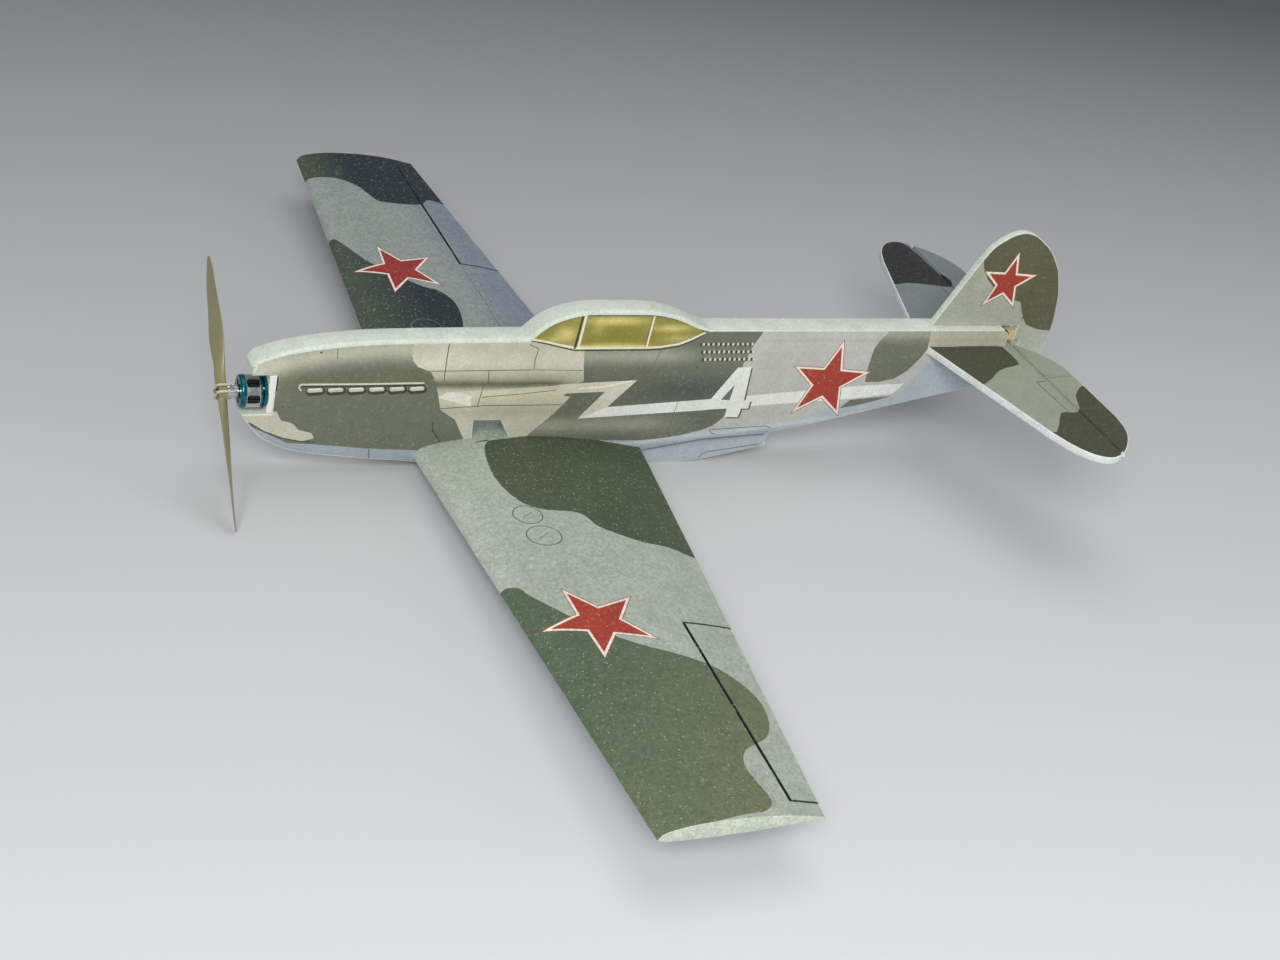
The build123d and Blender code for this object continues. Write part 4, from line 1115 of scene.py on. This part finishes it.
def wing_tone(points):
    """A paler nose, which is a painted highlight, and faint ribs."""
    share, y = from_skin(points)
    return 1.0 + 0.16 * ridge(share, 0.0, 0.07) + 0.02 * np.sin(y / 9.0) * np.sin(share * 9)


# Both wings are drawn for port, and the starboard one is mirrored when it is built.
# Dark lines across the skins at the aileron's ends are painted shade in the end gaps.
aileron_end_shade_lines = [
    line([hinge_point(station, 0), at_trailing_edge(station, 0.3)], 0.6, GAP_SHADE)
    for station in (-0.9, 0.3, HINGE_SPAN - 0.3, HINGE_SPAN + 0.9)
]
round_marks = [*ring_of((148.7, 117.4), 10.6, 11.4), line([(144.2, 114.4), (153.2, 120.4)])]
round_marks += [*ring_of((146.0, 144.6), 12.6, 12.2), line([(141.5, 141.6), (150.5, 147.6)])]
# The starboard wing's dark camouflage, deepening from the leading edge back: painted shade.
shaded_far_paint = wing_mix(SHADED_WING_GREEN, SHADED_WING_NAVY, 0.0, 0.36)
port_layers = [
    (patch_root, WING_ROOT),
    (patch_tip, tip_paint),
    *round_marks,
    *aileron_end_shade_lines,
    *star_layers((144.0, 246.5), 41.8, 1.0),
]
# The starboard wing is printed in darker copies of the port wing's colours: painted shade.
starboard_layers = [
    (far_whole, wing_mix(SHADED_WING_LIGHT, SHADED_TRAILING_BLUE, 0.55, 0.85)),
    (far_root, shaded_far_paint),
    (far_tip, shaded_far_paint),
    (far_middle, shaded_far_paint),
    line([hinge_point(-1.2, 0.0), (80.6, 189.0), (78.5, 78.0)], 0.6),
    *round_marks,
    *aileron_end_shade_lines,
    *star_layers((144.0, 235.2), 40.6, 3.0, SHADED_RED),
]
under_layers = [*aileron_end_shade_lines, *star_layers((126.0, 334.0), 38.0, 2.0)]


def wing_skin(name, sign, plan, under, rim, layers):
    """A wing or aileron skin on one side: sign is 1 for port and -1 for starboard."""
    # The starboard skin's base colour is a darker copy of the port one: painted shade.
    base = WING_LIGHT if sign > 0 else SHADED_WING_LIGHT
    return sheet_mesh(
        name,
        [counterclockwise(to_skin(plan))],
        lambda points: wing_top(points) * (1, sign, 1),
        lambda points: under(points) * (1, sign, 1),
        lambda points: rim(points * (1, sign, 1)),
        (base, on_skin(layers), wing_tone),
        (WING_BLUE, on_skin(under_layers), wing_tone),
        lambda points: wing_edges(points * (1, sign, 1)),
        3.2,
    )


def basis(x_axis, y_axis, z_axis, origin):
    made = Matrix((x_axis, y_axis, z_axis)).transposed().to_4x4()
    made.translation = origin
    return made


hinge_start = Vector(HINGE_INNER)
hinge_reach = Vector(HINGE_OUTER - HINGE_INNER)
hinge_axis = hinge_reach.normalized()
hinge_forward = (Vector((1, 0, 0)) - hinge_axis * hinge_axis.x).normalized()
hinge_up = (-hinge_axis).cross(hinge_forward)
servo_origin = hinge_start - hinge_axis * 4.2 + hinge_forward * 44.4 - hinge_up * 3.0
servo_place = basis(hinge_forward, hinge_axis.cross(hinge_forward), hinge_axis, servo_origin)
servo_rooms = [((-5.9, -15.9), (16.9, 6.0)), ((-10.6, 0.0), (21.6, 3.8)), ((-9.0, 5.9), (9.0, 14.5))]
hinge_places = [
    basis(hinge_forward, hinge_up, -hinge_axis, hinge_start + hinge_reach * share)
    for share in (0.14, 0.5, 0.86)
]

for side, sign, layers in (("port", 1, port_layers), ("starboard", -1, starboard_layers)):
    panel = wing_skin(f"wing_skin_{side}", sign, wing_plan, wing_under, wing_rim, layers)
    aileron = wing_skin(f"aileron_skin_{side}", sign, aileron_plan, aileron_under, aileron_rim, layers)
    turn = Matrix.Diagonal((1, sign, 1, 1))
    pocket = [
        box_cutter((low[0], -6.1, low[1]), (high[0], 30.0, high[1]), turn @ servo_place)
        for low, high in servo_rooms
    ]
    carve(panel, [hinge_room(turn @ place) for place in hinge_places] + pocket)
    carve(aileron, [hinge_room(turn @ place) for place in hinge_places])
    finished(panel, "airframe", [f"wing_panel_{side}"], wing_print)
    finished(aileron, f"aileron_{side}", [f"aileron_{side}"], wing_print)

# ---------------------------------------------------------------- fin
SHEET_HALF = 3.0
fin_outline = counterclockwise(
    joined(
        straight([(-230.5, 122), (-258.5, 183)]),
        curve(
            [(-258.5, 183), (-265.5, 194.5), (-274.8, 202.3), (-283, 206.9), (-292.1, 208.8)]
            + [(-303, 206.6), (-313.6, 200.5), (-323.5, 193.2), (-331.6, 184.1), (-338, 175.5)]
            + [(-342.6, 166), (-347.6, 153.5), (-350.7, 140.6), (-352.8, 128.5), (-353.5, 116.3)]
            + [(-353.2, 106), (-352, 97), (-349.6, 89), (-346, 83)]
        ),
        straight([(-346, 83), (-340, 79), (-318, 80), (-318, 97.8), (-324.6, 97.8), (-324.6, 108.6)]),
        straight([(-324.6, 108.6), (-318, 108.6), (-318, 122), (-297, 122), (-297, 110), (-240, 110)]),
        straight([(-240, 110), (-240, 122), (-230.5, 122)]),
    )
)
fin_dark = [
    (-258, 215), (-259, 190), (-260, 182), (-262, 177), (-265, 173), (-270, 166), (-278, 159),
    (-288, 152), (-298, 149), (-307, 146), (-311, 145), (-313, 142), (-316, 136), (-320, 130),
    (-323, 126), (-326, 123), (-332, 121), (-338, 119), (-345, 118), (-360, 117), (-362, 215),
]
fin_layers = [(fin_dark, FIN_DARK)]
for z in (188, 176, 164.5, 153, 141.5, 130):
    fin_layers.append(line([(-318, z), (-340, z - 0.8)], 0.6, scaled(FIN_DARK, 0.72)))
fin_layers.append(line([(-317, 202), (-318, 160), (-319.5, 126)], 0.5, scaled(FIN_DARK, 0.78)))
fin_layers += star_layers((-290.7, 163.1), 29.6, 93.0)


def sheet_rim(points):
    return np.full(len(points), 0.8), np.zeros(len(points))


def tail_tone(points):
    return 1.0 + 0.03 * np.sin(points[:, 0] / 17.0) * np.sin(points[:, 1] / 23.0)


fin_art = (FIN_LIGHT, fin_layers, tail_tone)
fin = sheet_mesh("fin_skin", [inset(fin_outline, 0.8)], flat(1, SHEET_HALF), flat(1, -SHEET_HALF), sheet_rim,
                 fin_art, fin_art, bare_foam, 2.6)
finished(fin, "airframe", ["fin"], tail_print)

# ---------------------------------------------------------------- stabiliser and elevators
TAIL_Z = 103.2
HINGE_X = -315.2
tail_half = joined(
    straight([(-226, 0), (-268, 140)]),
    curve(
        [(-268, 140), (-276.5, 159), (-286, 171), (-294.5, 176.3), (-303.8, 177.6), (-314.5, 173.4)]
        + [(-324, 165.5), (-332, 156.5), (-338.5, 147), (-343, 135), (-345.4, 122)]
    ),
    straight([(-345.4, 122), (-345.4, 60)]),
    curve([(-345.4, 60), (-344.9, 48), (-342.5, 38), (-338.6, 30), (-333.6, 23.3)]),
    straight([(-333.6, 23.3), (-316, 3.8), (HINGE_X, 3.8)]),
)


def clipped(loop, limit, ahead):
    """The part of a closed loop on one side of x = limit."""
    kept = []
    for a, b in zip(loop, np.roll(loop, -1, axis=0)):
        a_in, b_in = (a[0] > limit) == ahead, (b[0] > limit) == ahead
        if a_in:
            kept.append(a)
        if a_in != b_in:
            kept.append(a + (b - a) * (limit - a[0]) / (b[0] - a[0]))
    return joined(straight([*kept, kept[0]], 2.5))


whole_tail = joined(tail_half, (tail_half * (1, -1))[::-1])
stabiliser_outline = counterclockwise(clipped(whole_tail, HINGE_X + 0.75, True))
BEVEL = 1.53
port_tail = joined(tail_half, [np.array((HINGE_X, 0.0))])
elevator_outline = counterclockwise(clipped(port_tail, HINGE_X - 0.75 - BEVEL, False))
elevator_outline = elevator_outline[elevator_outline[:, 1] > 3.0]

root_patch = [
    (-215, 10), (-303, 10), (-304, 24), (-304, 33), (-302, 39), (-294, 42), (-286, 44), (-277, 48),
    (-270, 53), (-262, 60), (-250, 68), (-225, 72), (-215, 60),
]
tip_patch = [
    (-262, 139), (-273, 140), (-283, 129), (-288, 122), (-292, 117), (-296, 113), (-301, 112),
    (-308, 113), (-314, 112), (-318, 107), (-322, 98), (-327, 88), (-333, 82), (-338, 77),
    (-343, 74), (-352, 70), (-352, 182), (-262, 182),
]
far_patch = [
    (-240, -94), (-257, -96), (-270, -99), (-282, -98), (-297, -95), (-311, -92), (-316, -94),
    (-320, -104), (-318, -114), (-314, -123), (-313, -134), (-313, -150), (-311, -168), (-305, -182),
    (-240, -182),
]
# The first layer and the far patch darken the starboard half of the tail: painted shade.
tail_layers = [
    ([(-200, 0), (-360, 0), (-360, -200), (-200, -200)], SHADED_TAIL_LIGHT),
    (root_patch, TAIL_DARK),
    (tip_patch, TAIL_DARK),
    (far_patch, SHADED_TAIL_DARK),
]
printed_lines = [
    ([(-312.0, 65.8), (-301.8, 66.8), (-303.9, 111.2)], 0.8, INK),
    ([(-308.8, 130.5), (-308.4, 171.5)], 0.8, INK),
    ([(-307, 61), (-342, 58)], 0.5, SHADE),
    ([(-307, 109), (-342, 106)], 0.5, SHADE),
]
for points, width, colour in printed_lines:
    tail_layers += [line([(x, sign * y) for x, y in points], width, colour) for sign in (1, -1)]


def elevator_rim(points):
    front = points[:, 0] > HINGE_X - 4.0
    return np.full(len(points), 0.8) - 0.5 * front, np.where(front, 2 * BEVEL, 0.0)


def tail_edges(points):
    """Bare foam outside, and painted shade in the elevator gap."""
    gap = (np.abs(points[:, 0] - HINGE_X + 0.8) < 2.6) & (np.abs(points[:, 1]) < 170)
    colours = np.where(gap[:, None], GAP_SHADE, TAIL_FOAM)
    bevel = gap & (points[:, 0] < HINGE_X - 0.9) & (points[:, 2] > TAIL_Z + 0.4)
    colours[bevel] = art_at(points[bevel][:, :2], TAIL_LIGHT, tail_layers)
    return colours


def tail_skin(name, loop, rim):
    art = (TAIL_LIGHT, tail_layers, tail_tone)
    front, back = flat(2, TAIL_Z + SHEET_HALF), flat(2, TAIL_Z - SHEET_HALF)
    return sheet_mesh(name, [loop], front, back, rim, art, (WING_BLUE, [], tail_tone), tail_edges, 2.8)


def tail_room(y):
    place = basis(Vector((1, 0, 0)), Vector((0, 0, 1)), Vector((0, -1, 0)), Vector((HINGE_X, y, TAIL_Z)))
    return hinge_room(place)


stabiliser = tail_skin("stabiliser_skin", inset(stabiliser_outline, 0.8), sheet_rim)
carve(stabiliser, [tail_room(y) for y in (45.0, 130.0, -45.0, -130.0)])
finished(stabiliser, "airframe", ["stabiliser"], tail_print)
for side, sign in (("port", 1), ("starboard", -1)):
    outline = inset(counterclockwise(elevator_outline * (1, sign)), 0.5)
    elevator = tail_skin(f"elevator_skin_{side}", outline, elevator_rim)
    carve(elevator, [tail_room(sign * 45.0), tail_room(sign * 130.0)])
    finished(elevator, "elevator", [f"elevator_{side}"], tail_print)

# ---------------------------------------------------------------- small parts
dress("plywood", wood("plywood_grain", display(214, 200, 152), display(176, 150, 98)))
dress("copper", wrapped_wire("enamelled_copper", display(184, 104, 56)))
dress("strap_fabric", woven("hook_and_loop", display(78, 80, 84)))
dress("battery_wrap", labelled("battery_film", "battery_pack", display(38, 62, 128), display(176, 184, 190),
                               (6, 7), 0.034, 0.0016, 0.25))
dress("electronics_wrap", labelled("speed_controller_film", "speed_controller", display(38, 38, 42),
                                   display(150, 152, 150), (14, 8), 0.007, 0.0014, 0.28), "speed_controller")
dress("electronics_wrap", labelled("receiver_case", "receiver", display(52, 54, 58), display(196, 198, 192),
                                   (5, 4.5), 0.05, 0.0002, 0.38), "receiver")
worn_teal = display(120, 176, 184)
silver_band = (0.3202, 0.3303, display(206, 208, 206))
# slot, material, colour, roughness, spread of tone, scale of the grain, and what else it has
PLAIN_PARTS = [
    ("carbon", "carbon_rod", (34, 34, 37), 0.32, 0.25, 700, {"coat": 0.4, "stretch": (1.0, 0.08, 1.0)}),
    ("white_nylon", "white_nylon", (232, 232, 226), 0.45, 0.02, 500, {"bump": 0.18}),
    ("hinge_nylon", "hinge_nylon", (214, 214, 205), 0.5, 0.03, 700, {"bump": 0.15}),
    ("teal_anodised", "teal_anodised", (36, 120, 134), 0.24, 0.05, 900,
     {"metallic": 1.0, "bump": 0.08, "stretch": (4.0, 1.0, 1.0), "marks": worn_teal, "band": silver_band}),
    ("bare_aluminium", "machined_aluminium", (206, 208, 210), 0.25, 0.04, 1500,
     {"metallic": 1.0, "stretch": (6.0, 1.0, 1.0)}),
    ("steel", "bright_steel", (196, 198, 202), 0.22, 0.05, 1200, {"metallic": 1.0, "bump": 0.08}),
    # Near-black magnets: painted shade for the dark windows of the bell.
    ("magnet", "shade_darkened_magnet", (40, 42, 46), 0.25, 0.1, 900, {"metallic": 0.6, "bump": 0.05}),
    ("stator_iron", "stator_lacquer", (34, 36, 38), 0.4, 0.12, 800,
     {"bump": 0.3, "stretch": (9.0, 1.0, 1.0)}),
    ("ring_rubber", "natural_rubber", (196, 190, 158), 0.6, 0.1, 900, {"bump": 0.2}),
    ("propeller_olive", "olive_plastic", (136, 132, 94), 0.36, 0.06, 260, {"bump": 0.1, "coat": 0.2}),
    ("servo_case", "servo_case", (34, 74, 140), 0.3, 0.05, 500, {"coat": 0.3}),
]
for slot, name, colour, roughness, spread, scale, more in PLAIN_PARTS:
    dress(slot, plain(name, display(*colour), roughness, spread, scale, **more))


# ---------------------------------------------------------------- floor, light and camera
def floor_material():
    """Backdrop paper, white in front; the light grey further back is painted shade."""
    m = Surface("pale_floor")
    depth = m.axes()["Y"]
    # The grey outside the white band is painted shade.
    white = m.product(m.ranged(depth, -1.3, 0.75, 0.0, 1.0), m.ranged(depth, 0.8, 2.4, 1.0, 0.0))
    fibre = m.noise(900)
    paper = m.tinted(m.blended(white, display(118, 118, 120), display(232, 232, 232)),
                     m.ranged(fibre, 0.3, 0.7, 0.985, 1.015))
    return m.finish(paper, 0.85, fibre, 0.0, 0.0001, Specular_IOR_Level=0.15)


floor_mesh = bpy.data.meshes.new("floor")
floor_mesh.from_pydata([(-12, -12, 0), (12, -12, 0), (12, 12, 0), (-12, 12, 0)], [], [(0, 1, 2, 3)])
floor_mesh.materials.append(floor_material())
floor = bpy.data.objects.new("floor", floor_mesh)
bpy.context.scene.collection.objects.link(floor)


def softbox(name, place, target, size, power, colour=(1.0, 1.0, 1.0)):
    data = bpy.data.lights.new(name, "AREA")
    data.shape = "RECTANGLE"
    data.size, data.size_y = size
    data.energy = power
    data.color = colour
    lamp = bpy.data.objects.new(name, data)
    lamp.location = place
    lamp.rotation_mode = "QUATERNION"
    lamp.rotation_quaternion = (Vector(target) - Vector(place)).to_track_quat("-Z", "Y")
    bpy.context.scene.collection.objects.link(lamp)


softbox("key", (1.3, 2.1, 1.9), (0.05, 0.25, 0.0), (1.5, 1.2), 62.0, (1.0, 1.0, 0.985))
softbox("top_fill", (-0.4, -0.5, 2.6), (0.0, 0.0, 0.05), (2.4, 2.0), 20.0, (0.96, 0.98, 1.0))
softbox("tail_fill", (-2.0, 1.9, 1.0), (-0.1, 0.0, 0.05), (1.4, 1.2), 12.0)

world = bpy.data.worlds.new("studio")
world.use_nodes = True
world.node_tree.nodes["Background"].inputs["Color"].default_value = (0.72, 0.76, 0.82, 1.0)
world.node_tree.nodes["Background"].inputs["Strength"].default_value = 0.34
bpy.context.scene.world = world

camera_data = bpy.data.cameras.new("camera")
camera_data.sensor_width = 36.0
camera_data.lens = 51.09
camera_data.clip_start, camera_data.clip_end = 0.05, 60.0
camera = bpy.data.objects.new("camera", camera_data)
right = Vector((-0.90328, 0.37103, 0.21546))
down = Vector((0.03651, 0.56683, -0.82303))
ahead = Vector((-0.42749, -0.73556, -0.52555))
camera.matrix_world = basis(right, -down, -ahead, Vector((0.6278, 1.0830, 0.7502)))
bpy.context.scene.collection.objects.link(camera)
bpy.context.scene.camera = camera
bpy.context.scene.view_settings.view_transform = "Standard"
